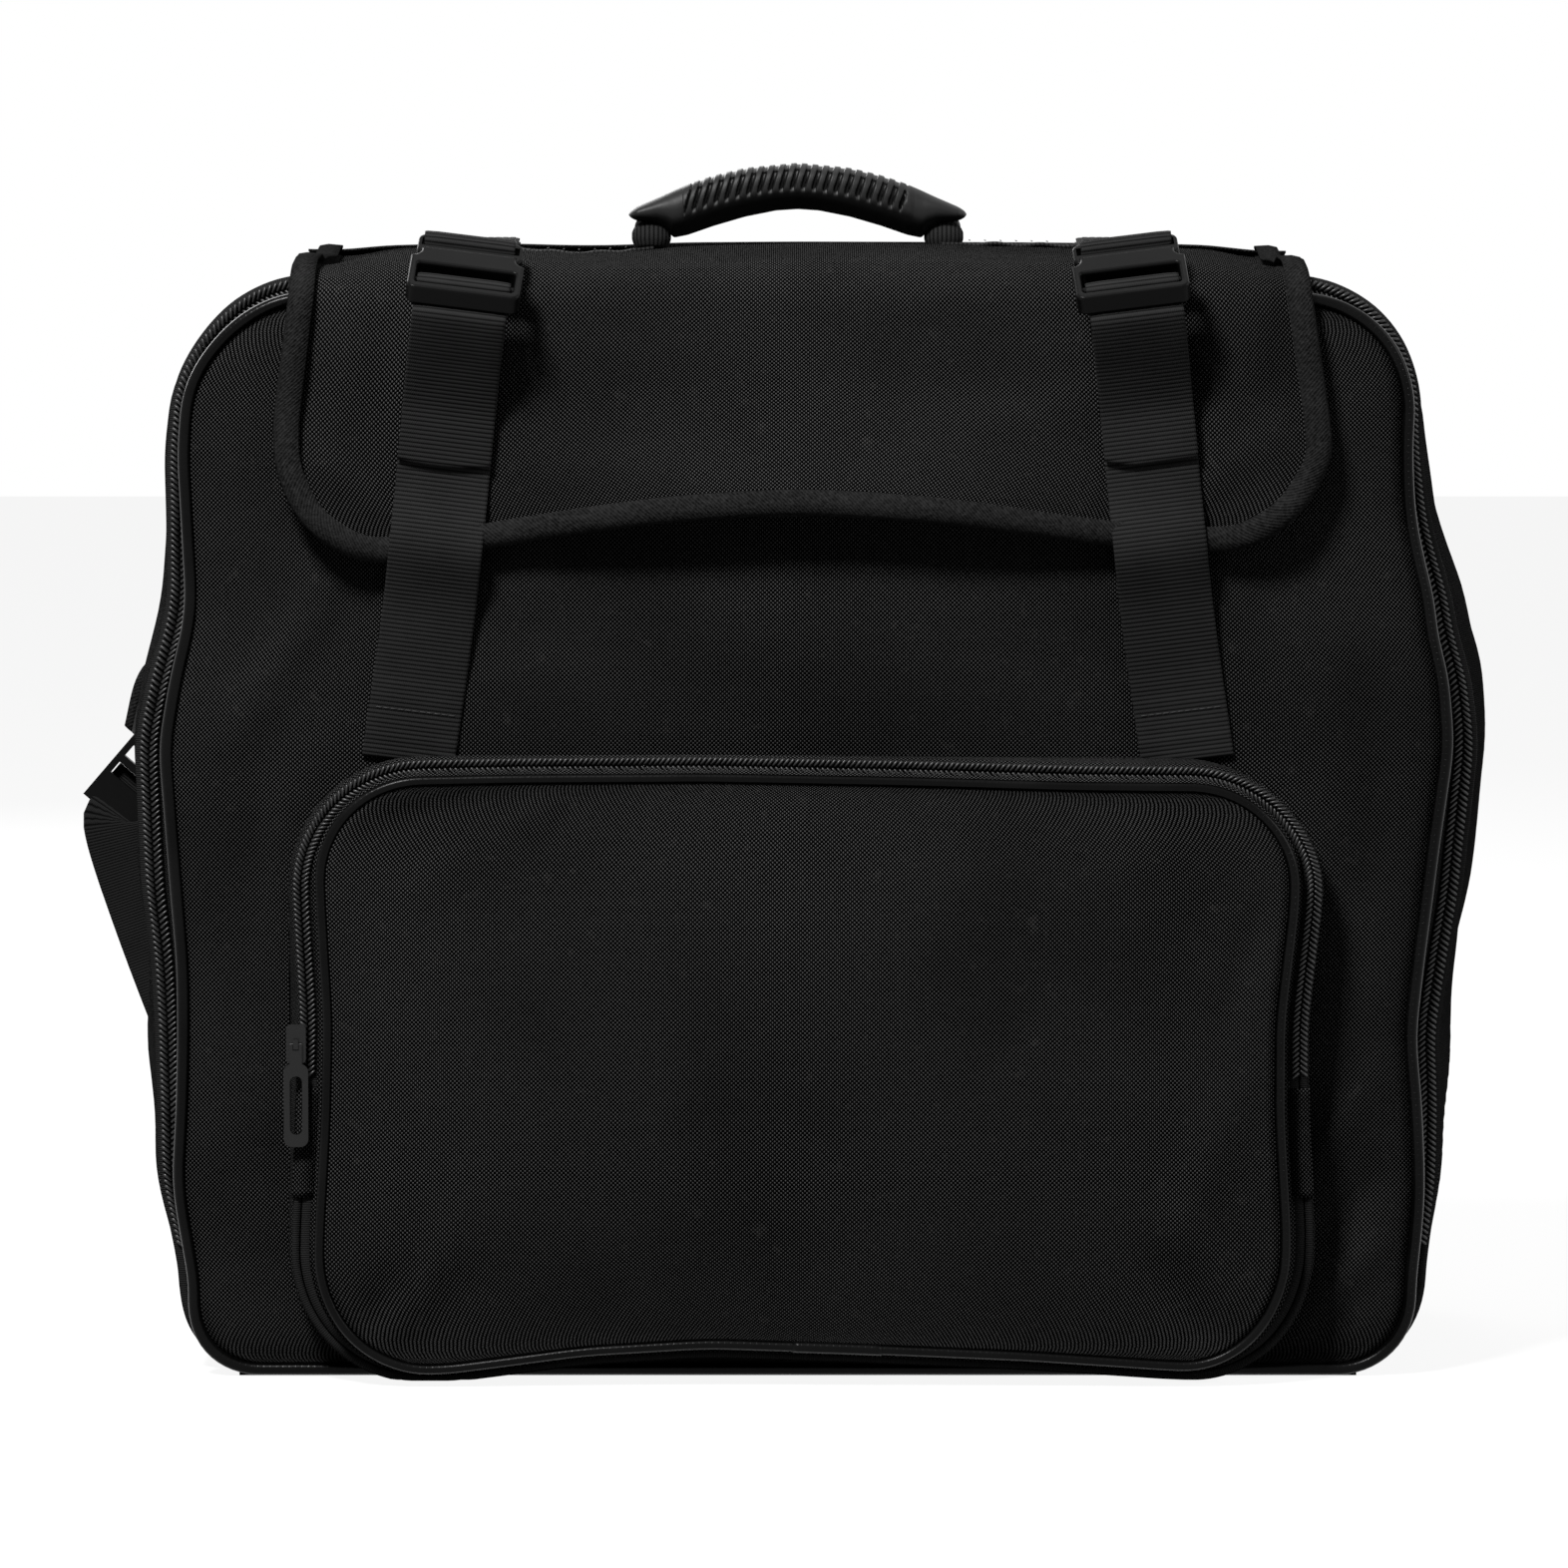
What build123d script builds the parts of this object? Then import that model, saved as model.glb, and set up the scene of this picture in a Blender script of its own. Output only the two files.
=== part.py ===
from build123d import *
import math
import os

# Padded accordion carrying case, worn on the back or carried by its top handle.
# Millimetres. X runs across the front, -Y is the front, +Z is up.
# The origin is the middle of the base, on the surface that the case stands on.

os.makedirs("parts", exist_ok=True)

# ------------------------------------------------------------------ shell
case_width = 536.0
case_height = 454.0
case_depth = 240.0
shell_top_radius = 58.0
shell_foot_radius = 38.0
cloth = 1.2                 # woven outer cloth with its coating
lining = 0.8
padding = 10.0              # closed-cell foam in every wall
base_board = 2.4            # stiffener lying on the lining of the base
clearance = 0.3             # between soft pieces on different bodies
running_clearance = 0.5     # between hard pieces that slide or turn

front_y = -case_depth / 2
back_y = case_depth / 2
wall = cloth + padding + lining

# ------------------------------------------------------------------ front panel (the lid)
panel_inset = 10.0          # the panel is this much smaller than the shell all round
panel_gusset = 22.0         # depth of the strip between the piping and the main zip
piping_radius = 2.5
panel_width = case_width - 2 * panel_inset
panel_top = case_height - panel_inset
panel_bottom = 2 * piping_radius + running_clearance
panel_top_radius = shell_top_radius - panel_inset
panel_foot_radius = shell_foot_radius - panel_inset
panel_back_y = front_y + panel_gusset

# ------------------------------------------------------------------ zips
tape = 0.8
coil_width = 3.2            # one side of the coil
coil_height = 2.0
coil_gap = 0.4              # between the two sides of a closed coil
main_zip_foot = 53.0        # both ends of the main zip, above the base
slider_length = 16.0
slider_plate = 1.2
slider_post = 2.0
slider_width = 8.0
eye_radius = 0.6            # hole in a slider's bail
eye_clearance = 0.15
pull_plate = 1.6
pull_neck = 5.0             # narrow end of a pull, round the slider's bail
pull_neck_length = 8.0
main_pull_length = 20.0
main_pull_width = 6.0
pocket_pull_length = 42.0
pocket_pull_width = 10.0
slider_park = 10.0          # middle of each main slider from the middle of the case

# ------------------------------------------------------------------ flap
flap_width = 424.0
flap_padding = 3.0
flap_drop = 118.0           # length of the front skirt
flap_corner_radius = 38.0
flap_knee = 34.0            # the top slopes down over this depth at the front
flap_slope = 7.0
flap_gap = 3.0              # between the shell and the flap
flap_bend_radius = 2.0       # inside the bend at the front
skirt_gap = 2.0             # between the front panel and the skirt
flap_hinge_set = 3.0        # back edge of the flap in front of the shell's back
seam_roll_radius = 1.1
binding_width = 10.0
binding = 0.8
seam_tape_drop = 20.0
flap_hinge_y = back_y - flap_hinge_set / 2
flap_hinge_z = case_height + flap_gap + (cloth + flap_padding + lining) / 2

# ------------------------------------------------------------------ handle
handle_span = 132.0
handle_rise = 31.5          # top of the grip above its pivot
grip_thickness = 17.0
grip_depth = 20.0
grip_end_lift = 6.0         # underside of the grip's ends above its pivot
grip_end_height = 11.0
grip_rounding = 4.0
core_strip = 2.0            # steel strip inside the grip
core_drop = 4.0
handle_y = -20.0
ring_wire = 3.0
ring_width = 26.0
ring_height = 12.0
pivot_lift = 4.5            # pivot above the flap
anchor_webbing_width = 25.0
anchor_webbing_length = 62.0
webbing = 1.6

# ------------------------------------------------------------------ closing straps and buckles
strap_width = 38.0
strap_inset = 56.0          # middle of a strap's foot inside the edge of the flap
strap_lean = 7.0            # degrees; both straps lean inwards towards the top
strap_sewn_length = 14.0
strap_clearance = 2.2       # between the strap and the flap's skirt
buckle_tilt = 36.0
buckle_width = 46.0
buckle_thickness = 9.0
buckle_wall = 1.6
buckle_corner = 3.4
buckle_standoff = 5.0       # under the buckle's flat back at the flap's bend
mouth_set = 2.0             # the female's mouth below the crest of the flap's bend
female_length = 28.0
female_rim = 4.0            # low end of the female, in front of the webbing
female_opening = 13.0       # length of the opening that shows the webbing
female_bar = 3.4            # bar across the opening that the webbing turns on
bar_out = 1.5               # its middle outside the middle of the male's frame
male_width = 43.0
male_length = 13.4
male_thickness = 5.0
male_bar = 3.0
male_slot = 5.0
prong_length = 8.6
prong_thickness = 2.2
prong_width = 5.0
scoop_set = 1.5             # middle of the round scoops in both sides, below the mouth
scoop_depth = 4.0
scoop_radius = 4.5
thumb_length = 5.0          # side tips of the male, which stand out of the scoops
thumb_proud = 1.2
edge_rounding = 1.3
anchor_drop = 1.6           # the anchor webbing passes this far below the male's frame
tail_gap = 1.0              # between the strap and its free tail
strap_rise = 4.0            # the strap leaves the panel this far below the skirt
strap_foot_rise = 3.0       # the sewn foot of the strap above the pocket's rear gusset
strap_run = 60.0            # the strap lies against the skirt up to here, above its foot
tail_run = 34.0             # the free tail ends here, above the foot of the skirt

# ------------------------------------------------------------------ front pocket
pocket_width = 388.0
pocket_bottom = 16.0
pocket_height = 229.0
pocket_radius = 39.0
pocket_rise = 33.0          # its front stands this far off the panel
pocket_front_gusset = 13.0  # from the pocket's front to its zip
pocket_side_grow = 19.0     # the rear gusset lies this far outside the front at the sides,
pocket_top_grow = 15.0      # at the top
pocket_foot_grow = 14.0     # and at the foot
pocket_zip_set = 8.5        # middle of the zip inside the rear gusset
pocket_piping_radius = 2.0
pocket_fold_z = 150.0
pocket_slider_z = 140.0
pocket_zip_foot = 126.0

# ------------------------------------------------------------------ back straps
shoulder_width = 62.0
shoulder_thickness = 9.0
shoulder_drop = 39.0        # top seam of the straps below the top of the shell
shoulder_top_x = 62.0
left_overhang = 10.0        # the left strap's end hangs this far past the side,
right_underhang = 54.0      # and the right one's this far inside it
shoulder_end_z = 238.0
lock_width = 32.0
lock_length = 34.0
lock_thickness = 5.0
lock_frame = 3.5
lower_webbing_width = 25.0
foot_patch = 34.0
foot_patch_set = 24.0       # middle of a foot patch inside the side of the shell
foot_patch_z = 62.0
patch_thickness = 1.4
shoulder_patch_height = 46.0
shoulder_bow = 34.0
lock_slot = 6.0

# ------------------------------------------------------------------ inside strap
inner_strap_width = 50.0
inner_strap_length = 420.0
inner_strap_z = 260.0
inner_strap_thickness = 2.0


# ------------------------------------------------------------------ helpers
def save(name, shape):
    """Write one sub-part to its own STEP file."""
    export_step(shape, f"parts/{name}.step")


def outline(width, bottom, top, top_radius, foot_radius):
    """Rounded rectangle standing in the XZ plane."""
    height = top - bottom
    face = Rectangle(width, height)
    face = fillet(face.vertices().group_by(Axis.Y)[-1], top_radius)
    face = fillet(face.vertices().group_by(Axis.Y)[0], foot_radius)
    return Plane.XZ * Pos(0, bottom + height / 2) * face


def along_y(face, y_front, y_back):
    """Extrude an upright XZ face from y_front to y_back."""
    return extrude(Pos(0, y_front, 0) * face, amount=y_back - y_front, dir=(0, 1, 0))


def block(x0, x1, y0, y1, z0, z1):
    """Box from its two corners."""
    box = Box(x1 - x0, y1 - y0, z1 - z0)
    return Pos((x0 + x1) / 2, (y0 + y1) / 2, (z0 + z1) / 2) * box


def above(shape, z):
    """The part of a shape above height z."""
    reach = 2 * case_width
    return shape & block(-reach, reach, -reach, reach, z, reach)


def below(shape, z):
    """The part of a shape below height z."""
    reach = 2 * case_width
    return shape & block(-reach, reach, -reach, reach, -reach, z)


def shell_outline(inset):
    """Outline of the shell, drawn in by inset on every side."""
    return outline(case_width - 2 * inset, inset, case_height - inset,
                   shell_top_radius - inset, shell_foot_radius - inset)


def panel_outline(inset):
    """Outline of the front panel, drawn in by inset on every side."""
    return outline(panel_width - 2 * inset, panel_bottom + inset, panel_top - inset,
                   panel_top_radius - inset, panel_foot_radius - inset)


def pocket_outline(inset):
    """Outline of the pocket's front, drawn in by inset (or let out, below zero)."""
    return outline(pocket_width - 2 * inset, pocket_bottom + inset, pocket_top - inset,
                   pocket_radius - inset, pocket_radius - inset)


def pocket_rear_outline(inset):
    """Outline of the gusset behind the pocket's zip, drawn in by inset."""
    return outline(pocket_width + 2 * (pocket_side_grow - inset),
                   pocket_bottom - pocket_foot_grow + inset, pocket_top + pocket_top_grow - inset,
                   pocket_radius + pocket_side_grow - inset, pocket_radius + pocket_foot_grow - inset)


def ring(shape, outer, inner, y_front, y_back):
    """Band between two insets of an outline function, from y_front to y_back."""
    return along_y(shape(outer), y_front, y_back) - along_y(shape(inner), y_front, y_back)


def cord_round(face, y, radius):
    """Round cord along the edge of an upright face."""
    path = (Pos(0, y, 0) * face).face().outer_wire()
    section = Plane(origin=path @ 0, z_dir=path % 0) * Circle(radius)
    return sweep(section, path=path)


# ------------------------------------------------------------------ shell body
shell_front_y = panel_back_y + tape


def shell_band(outer, inner):
    """Layer of the gusset, from the main zip to the back."""
    return ring(shell_outline, outer, inner, shell_front_y, back_y - cloth - padding)


def make_shell():
    cut_z = shell_foot_radius
    cover = shell_band(0, cloth)
    foam = shell_band(cloth, cloth + padding)
    inner_back_y = back_y - cloth - padding
    tongue_x = panel_width / 2 - panel_foot_radius
    tongue_y = front_y + 2 * piping_radius + running_clearance
    tongue = block(-tongue_x, tongue_x, tongue_y, shell_front_y, 0, cloth)
    save("base_cover", below(cover, cut_z) + tongue)
    save("gusset_cover", above(cover, cut_z))
    save("base_padding", below(foam, cut_z))
    save("gusset_padding", above(foam, cut_z))
    save("gusset_lining", shell_band(cloth + padding, wall))
    save("back_padding", along_y(shell_outline(cloth), inner_back_y, back_y - cloth))
    save("back_lining", along_y(shell_outline(wall), inner_back_y - lining, inner_back_y))
    rim = ring(shell_outline, 0, cloth, inner_back_y, back_y - cloth)
    save("back_cover", along_y(shell_outline(0), back_y - cloth, back_y) + rim)
    board_x = case_width / 2 - shell_foot_radius
    board = block(-board_x, board_x, shell_front_y + padding, inner_back_y - 2 * lining,
                  wall, wall + base_board)
    save("base_board", board)


def make_inside_strap():
    """Wide hook-and-loop strap lying open against the back lining."""
    strap_back_y = back_y - cloth - padding - lining
    half = inner_strap_length / 2
    z0 = inner_strap_z - inner_strap_width / 2
    z1 = inner_strap_z + inner_strap_width / 2
    strap = block(-half, half, strap_back_y - inner_strap_thickness, strap_back_y, z0, z1)
    strap = fillet(strap.edges().filter_by(Axis.Y), inner_strap_width / 4)
    save("instrument_strap", strap)


def make_main_zip():
    """Both halves of the main zip, tape and coil, and the plain cloth below its ends."""
    middle = panel_inset / 2
    half_gap = coil_gap / 2
    tape_y = panel_back_y
    rear_tape = ring(shell_outline, 0, middle - half_gap, tape_y, tape_y + tape)
    rear_tape = above(rear_tape, cloth)
    foot_web = ring(shell_outline, middle - half_gap, panel_inset - clearance,
                    tape_y, tape_y + tape)
    save("gusset_foot_web", below(above(foot_web, cloth), main_zip_foot))
    front_inner = panel_inset + cloth
    front_tape = ring(shell_outline, middle + half_gap, front_inner, tape_y, tape_y + tape)
    rear_coil = ring(shell_outline, middle - half_gap - coil_width, middle - half_gap,
                     tape_y - coil_height, tape_y)
    save("main_zip_rear", rear_tape + above(rear_coil, main_zip_foot))
    front_coil = ring(shell_outline, middle + half_gap, middle + half_gap + coil_width,
                      tape_y - coil_height, tape_y)
    save("main_zip_front", above(front_tape + front_coil, main_zip_foot))


def slider(width, length):
    """Zip slider on a coil that runs along local Y and faces local +Z.

    A plate over the coil with the bail on top. The local origin is on the face of the tape.
    """
    top_z = coil_height + clearance
    top = Pos(0, 0, top_z + slider_plate / 2) * Box(width, length, slider_plate)
    top = fillet(top.edges().filter_by(Axis.Z), width / 4)
    arch_z = top_z + slider_plate + slider_post / 2
    arch = Pos(0, 0, arch_z) * Box(slider_post, 2 * slider_post, slider_post)
    eye = Pos(0, 0, arch_z) * Rot(0, 90, 0) * Cylinder(eye_radius, 2 * slider_post)
    return top + arch - eye


def pull(length, width):
    """Pull hanging along local -Y from its pin at the local origin: a neck and a slotted paddle."""
    middle = -(pull_neck_length + length) / 2
    paddle_length = length - pull_neck_length
    paddle = Pos(0, middle, 0) * Box(width, paddle_length, pull_plate)
    paddle = fillet(paddle.edges().filter_by(Axis.Z), width / 3)
    neck_reach = pull_neck_length + width / 3
    neck = Pos(0, -neck_reach / 2, 0) * Box(pull_neck, neck_reach, pull_plate)
    slot_shape = SlotOverall(paddle_length - width, width / 2, rotation=90)
    slot = Pos(0, middle, 0) * extrude(slot_shape, pull_plate, both=True)
    notch_length = 2 * (slider_post + running_clearance)
    notch = Box(slider_post + 2 * clearance, notch_length, 2 * pull_plate)
    pin = Rot(0, 90, 0) * Cylinder(eye_radius - eye_clearance, pull_neck)
    return paddle + neck - slot - notch + pin


pull_lift = coil_height + clearance + slider_plate + slider_post / 2


def make_main_sliders():
    """Two sliders that meet under the flap, with their pulls lying outwards."""
    middle_z = case_height - panel_inset / 2
    for side, name in ((-1, "left"), (1, "right")):
        seat = Plane(origin=(side * slider_park, panel_back_y, middle_z),
                     x_dir=(0, 0, side), z_dir=(0, -1, 0))
        save(f"main_slider_{name}", seat * slider(slider_width, slider_length))
        save(f"main_pull_{name}", seat * Pos(0, 0, pull_lift) * pull(main_pull_length, main_pull_width))


# ------------------------------------------------------------------ front panel body
def make_panel():
    cover_back_y = front_y + cloth
    foam_back_y = cover_back_y + padding
    save("panel_cover", along_y(panel_outline(0), front_y, cover_back_y))
    save("panel_padding", along_y(panel_outline(cloth), cover_back_y, foam_back_y))
    save("panel_lining", along_y(panel_outline(cloth), foam_back_y, foam_back_y + lining))
    save("panel_gusset", ring(panel_outline, 0, cloth, cover_back_y, panel_back_y))
    save("panel_piping", cord_round(panel_outline(-piping_radius), front_y + piping_radius,
                                    piping_radius))


# ------------------------------------------------------------------ front pocket
pocket_front_y = front_y - pocket_rise
pocket_zip_y = pocket_front_y + pocket_front_gusset
pocket_slider_x = pocket_zip_set - pocket_side_grow - pocket_width / 2
pocket_top = pocket_bottom + pocket_height


def make_pocket():
    """Pocket whose front folds down about a line just above its parked slider."""
    skin_back_y = pocket_front_y + cloth
    front = along_y(pocket_outline(0), pocket_front_y, skin_back_y)
    band = ring(pocket_outline, 0, cloth, skin_back_y, pocket_zip_y)
    piping = cord_round(pocket_outline(-pocket_piping_radius),
                        pocket_front_y + pocket_piping_radius, pocket_piping_radius)
    upper_z = pocket_fold_z + clearance
    save("pocket_front_upper", above(front, upper_z))
    save("pocket_front_lower", below(front, pocket_fold_z))
    save("pocket_band_upper", above(band, upper_z))
    save("pocket_band_lower", below(band, pocket_fold_z))
    save("pocket_piping_upper", above(piping, upper_z))
    save("pocket_piping_lower", below(piping, pocket_fold_z))
    near = pocket_zip_set - coil_gap / 2
    far = pocket_zip_set + coil_gap / 2
    tape_back_y = pocket_zip_y + tape
    rear_tape = ring(pocket_rear_outline, 0, near, pocket_zip_y, tape_back_y)
    front_tape = (along_y(pocket_rear_outline(far), pocket_zip_y, tape_back_y)
                  - along_y(pocket_outline(cloth), pocket_zip_y, tape_back_y))
    coil_y = pocket_zip_y - coil_height
    rear_coil = ring(pocket_rear_outline, near - coil_width, near, coil_y, pocket_zip_y)
    front_coil = ring(pocket_rear_outline, far, far + coil_width, coil_y, pocket_zip_y)
    low_coil = above(below(front_coil, pocket_fold_z), pocket_zip_foot)
    save("pocket_zip_rear", rear_tape + above(rear_coil, pocket_zip_foot))
    save("pocket_zip_closed", below(front_tape, pocket_fold_z) + low_coil)
    save("pocket_zip_front", above(front_tape + front_coil, upper_z))
    save("pocket_gusset", ring(pocket_rear_outline, 0, cloth, tape_back_y, front_y))
    seat = Plane(origin=(pocket_slider_x, pocket_zip_y, pocket_slider_z),
                 x_dir=(1, 0, 0), z_dir=(0, -1, 0))
    save("pocket_slider", seat * slider(slider_width, slider_length))
    save("pocket_pull", seat * Pos(0, 0, pull_lift) * pull(pocket_pull_length, pocket_pull_width))


# ------------------------------------------------------------------ flap body
flap_thickness = cloth + flap_padding + lining
flap_under_z = case_height + flap_gap
flap_top_z = flap_under_z + flap_thickness
skirt_back_y = front_y - skirt_gap
skirt_front_y = skirt_back_y - flap_thickness
skirt_foot_z = flap_top_z - flap_drop
flap_back_y = back_y - flap_hinge_set
strap_leave_z = skirt_foot_z + strap_run
tail_end_z = skirt_foot_z + tail_run
bend_y = skirt_back_y + flap_bend_radius
bend_z = flap_under_z - flap_slope - flap_bend_radius


def flap_core():
    """Space under the flap, seen from the side, as a face in the YZ plane."""
    corners = [(flap_back_y, skirt_foot_z), (flap_back_y, flap_under_z),
               (skirt_back_y + flap_knee, flap_under_z),
               (skirt_back_y, flap_under_z - flap_slope), (skirt_back_y, skirt_foot_z)]
    face = make_face(Polyline(*corners, close=True))
    nose = face.vertices().sort_by(Axis.X)[:2].sort_by(Axis.Y)[-1]
    return fillet(nose, flap_bend_radius)


def flap_layer(inner, outer, inset=0.0):
    """Layer of the flap between two distances from its underside."""
    band = offset(flap_core(), outer)
    if inner > 0:
        band = band - offset(flap_core(), inner)
    else:
        band = band - flap_core()
    band = extrude(Plane.YZ * band, amount=flap_width / 2, both=True)
    plan = outline(flap_width - 2 * inset, skirt_foot_z + inset, case_height + 2 * flap_drop,
                   flap_corner_radius, flap_corner_radius - inset)
    return band & along_y(plan, 2 * front_y, flap_back_y)


def make_flap():
    save("flap_lining", flap_layer(0, lining))
    save("flap_padding", flap_layer(lining, lining + flap_padding))
    save("flap_cover", flap_layer(lining + flap_padding, flap_thickness))
    edge = flap_layer(flap_thickness, flap_thickness + binding)
    edge = edge - flap_layer(flap_thickness, flap_thickness + binding, binding_width)
    save("flap_binding", below(edge, bend_z))
    tape_strip = block(-flap_width / 2, flap_width / 2, back_y, back_y + cloth,
                       case_height - seam_tape_drop, flap_hinge_z)
    roll = Pos(0, flap_hinge_y, flap_hinge_z) * Rot(0, 90, 0) * Cylinder(
        seam_roll_radius, flap_width)
    web = block(-flap_width / 2, flap_width / 2, flap_hinge_y, back_y + cloth,
                flap_hinge_z - seam_roll_radius, flap_hinge_z)
    save("flap_seam_tape", tape_strip + roll + web)


# ------------------------------------------------------------------ handle body
pivot_z = flap_top_z + pivot_lift
ring_x = handle_span / 2 - ring_width / 3


def handle_arch(lower_rise, upper_rise, half_span, end_low, end_high):
    """Arched band in the XZ plane, heights measured from the handle's pivot."""
    under = ThreePointArc((-half_span, pivot_z + end_low), (0, pivot_z + lower_rise),
                          (half_span, pivot_z + end_low))
    over = ThreePointArc((half_span, pivot_z + end_high), (0, pivot_z + upper_rise),
                         (-half_span, pivot_z + end_high))
    closing = [Line(under @ 1, over @ 0), Line(over @ 1, under @ 0)]
    return Plane.XZ * make_face([under, over] + closing)


def ring_frame(x, wire_radius):
    """Rectangular wire ring whose lower bar lies on the handle's pivot."""
    bars = []
    corners = [(-ring_width / 2, 0), (ring_width / 2, 0),
               (ring_width / 2, ring_height), (-ring_width / 2, ring_height)]
    for (x0, z0), (x1, z1) in zip(corners, corners[1:] + corners[:1]):
        run = Line((x + x0, handle_y, pivot_z + z0), (x + x1, handle_y, pivot_z + z1))
        bars.append(sweep(Plane(origin=run @ 0, z_dir=run % 0) * Circle(wire_radius), path=run))
        bars.append(Pos(x + x0, handle_y, pivot_z + z0) * Sphere(wire_radius))
    return bars[0].fuse(*bars[1:])


def make_handle():
    half = grip_depth / 2
    top_end = grip_end_lift + grip_end_height
    grip = along_y(handle_arch(handle_rise - grip_thickness, handle_rise, handle_span / 2,
                               grip_end_lift, top_end), handle_y - half, handle_y + half)
    long_edges = grip.edges().filter_by(lambda edge: edge.geom_type == GeomType.CIRCLE)
    grip = fillet(long_edges, grip_rounding)
    core_reach = handle_span / 2 - ring_width
    core_mid = handle_rise - grip_thickness / 2
    core_end = core_mid - core_drop
    core = along_y(handle_arch(core_mid - core_strip / 2, core_mid + core_strip / 2, core_reach,
                               core_end - core_strip / 2, core_end + core_strip / 2),
                   handle_y - half / 2, handle_y + half / 2)
    for side in (-1, 1):
        grip = grip - ring_frame(side * ring_x, ring_wire / 2 + clearance)
    save("handle_grip", grip - core)
    save("handle_core", core)
    eye_outer = ring_wire / 2 + running_clearance + webbing
    eye_length = ring_width - 2 * ring_wire
    rings = []
    loops = []
    strips = []
    for side in (-1, 1):
        x = side * ring_x
        rings.append(ring_frame(x, ring_wire / 2))
        turn = Pos(x, handle_y, pivot_z) * Rot(0, 90, 0)
        foot = block(x - eye_length / 2, x + eye_length / 2, handle_y - eye_outer,
                     handle_y + eye_outer, flap_top_z, pivot_z)
        loop = turn * Cylinder(eye_outer, eye_length) + foot
        loop = loop - turn * Cylinder(ring_wire / 2 + running_clearance, eye_length)
        loops.append(loop)
        near_x = handle_span / 2 + ring_wire
        strip = block(near_x, near_x + anchor_webbing_length,
                      handle_y - anchor_webbing_width / 2, handle_y + anchor_webbing_width / 2,
                      flap_top_z, flap_top_z + webbing)
        strips.append(strip if side > 0 else mirror(strip, about=Plane.YZ))
    save("handle_rings", Compound(rings))
    save("handle_loops", Compound(loops))
    save("handle_webbing", Compound(strips))


# ------------------------------------------------------------------ closing straps
tilt = math.radians(buckle_tilt)
bend_outer = flap_bend_radius + flap_thickness
buckle_offset = bend_outer + buckle_standoff + male_thickness / 2
buckle_y = bend_y - buckle_offset * math.sin(tilt)
buckle_z = bend_z + buckle_offset * math.cos(tilt)
strap_foot_x = flap_width / 2 - strap_inset
strap_foot_y = front_y - webbing / 2 - clearance
strap_foot_z = pocket_top + pocket_top_grow + strap_foot_rise + strap_sewn_length
strap_run_y = skirt_front_y - strap_clearance - webbing / 2
tail_y = strap_run_y - webbing - tail_gap


def buckle_point(along, out):
    """Point in the YZ plane, from a buckle's own length and thickness directions."""
    y = buckle_y + along * math.cos(tilt) - out * math.sin(tilt)
    z = buckle_z + along * math.sin(tilt) + out * math.cos(tilt)
    return (y, z)


def ribbon(points, thickness, width):
    """Flat webbing that follows points in the YZ plane, centred on x = 0."""
    face = trace(Polyline(*points), thickness)
    return extrude(Plane.YZ * face, amount=width / 2, both=True)


def strap_place(side):
    """Placement of a strap, leaning about the foot of its free stretch."""
    foot_x = side * strap_foot_x
    return Pos(foot_x, 0, strap_foot_z) * Rot(0, -side * strap_lean, 0) * Pos(0, 0, -strap_foot_z)


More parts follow.
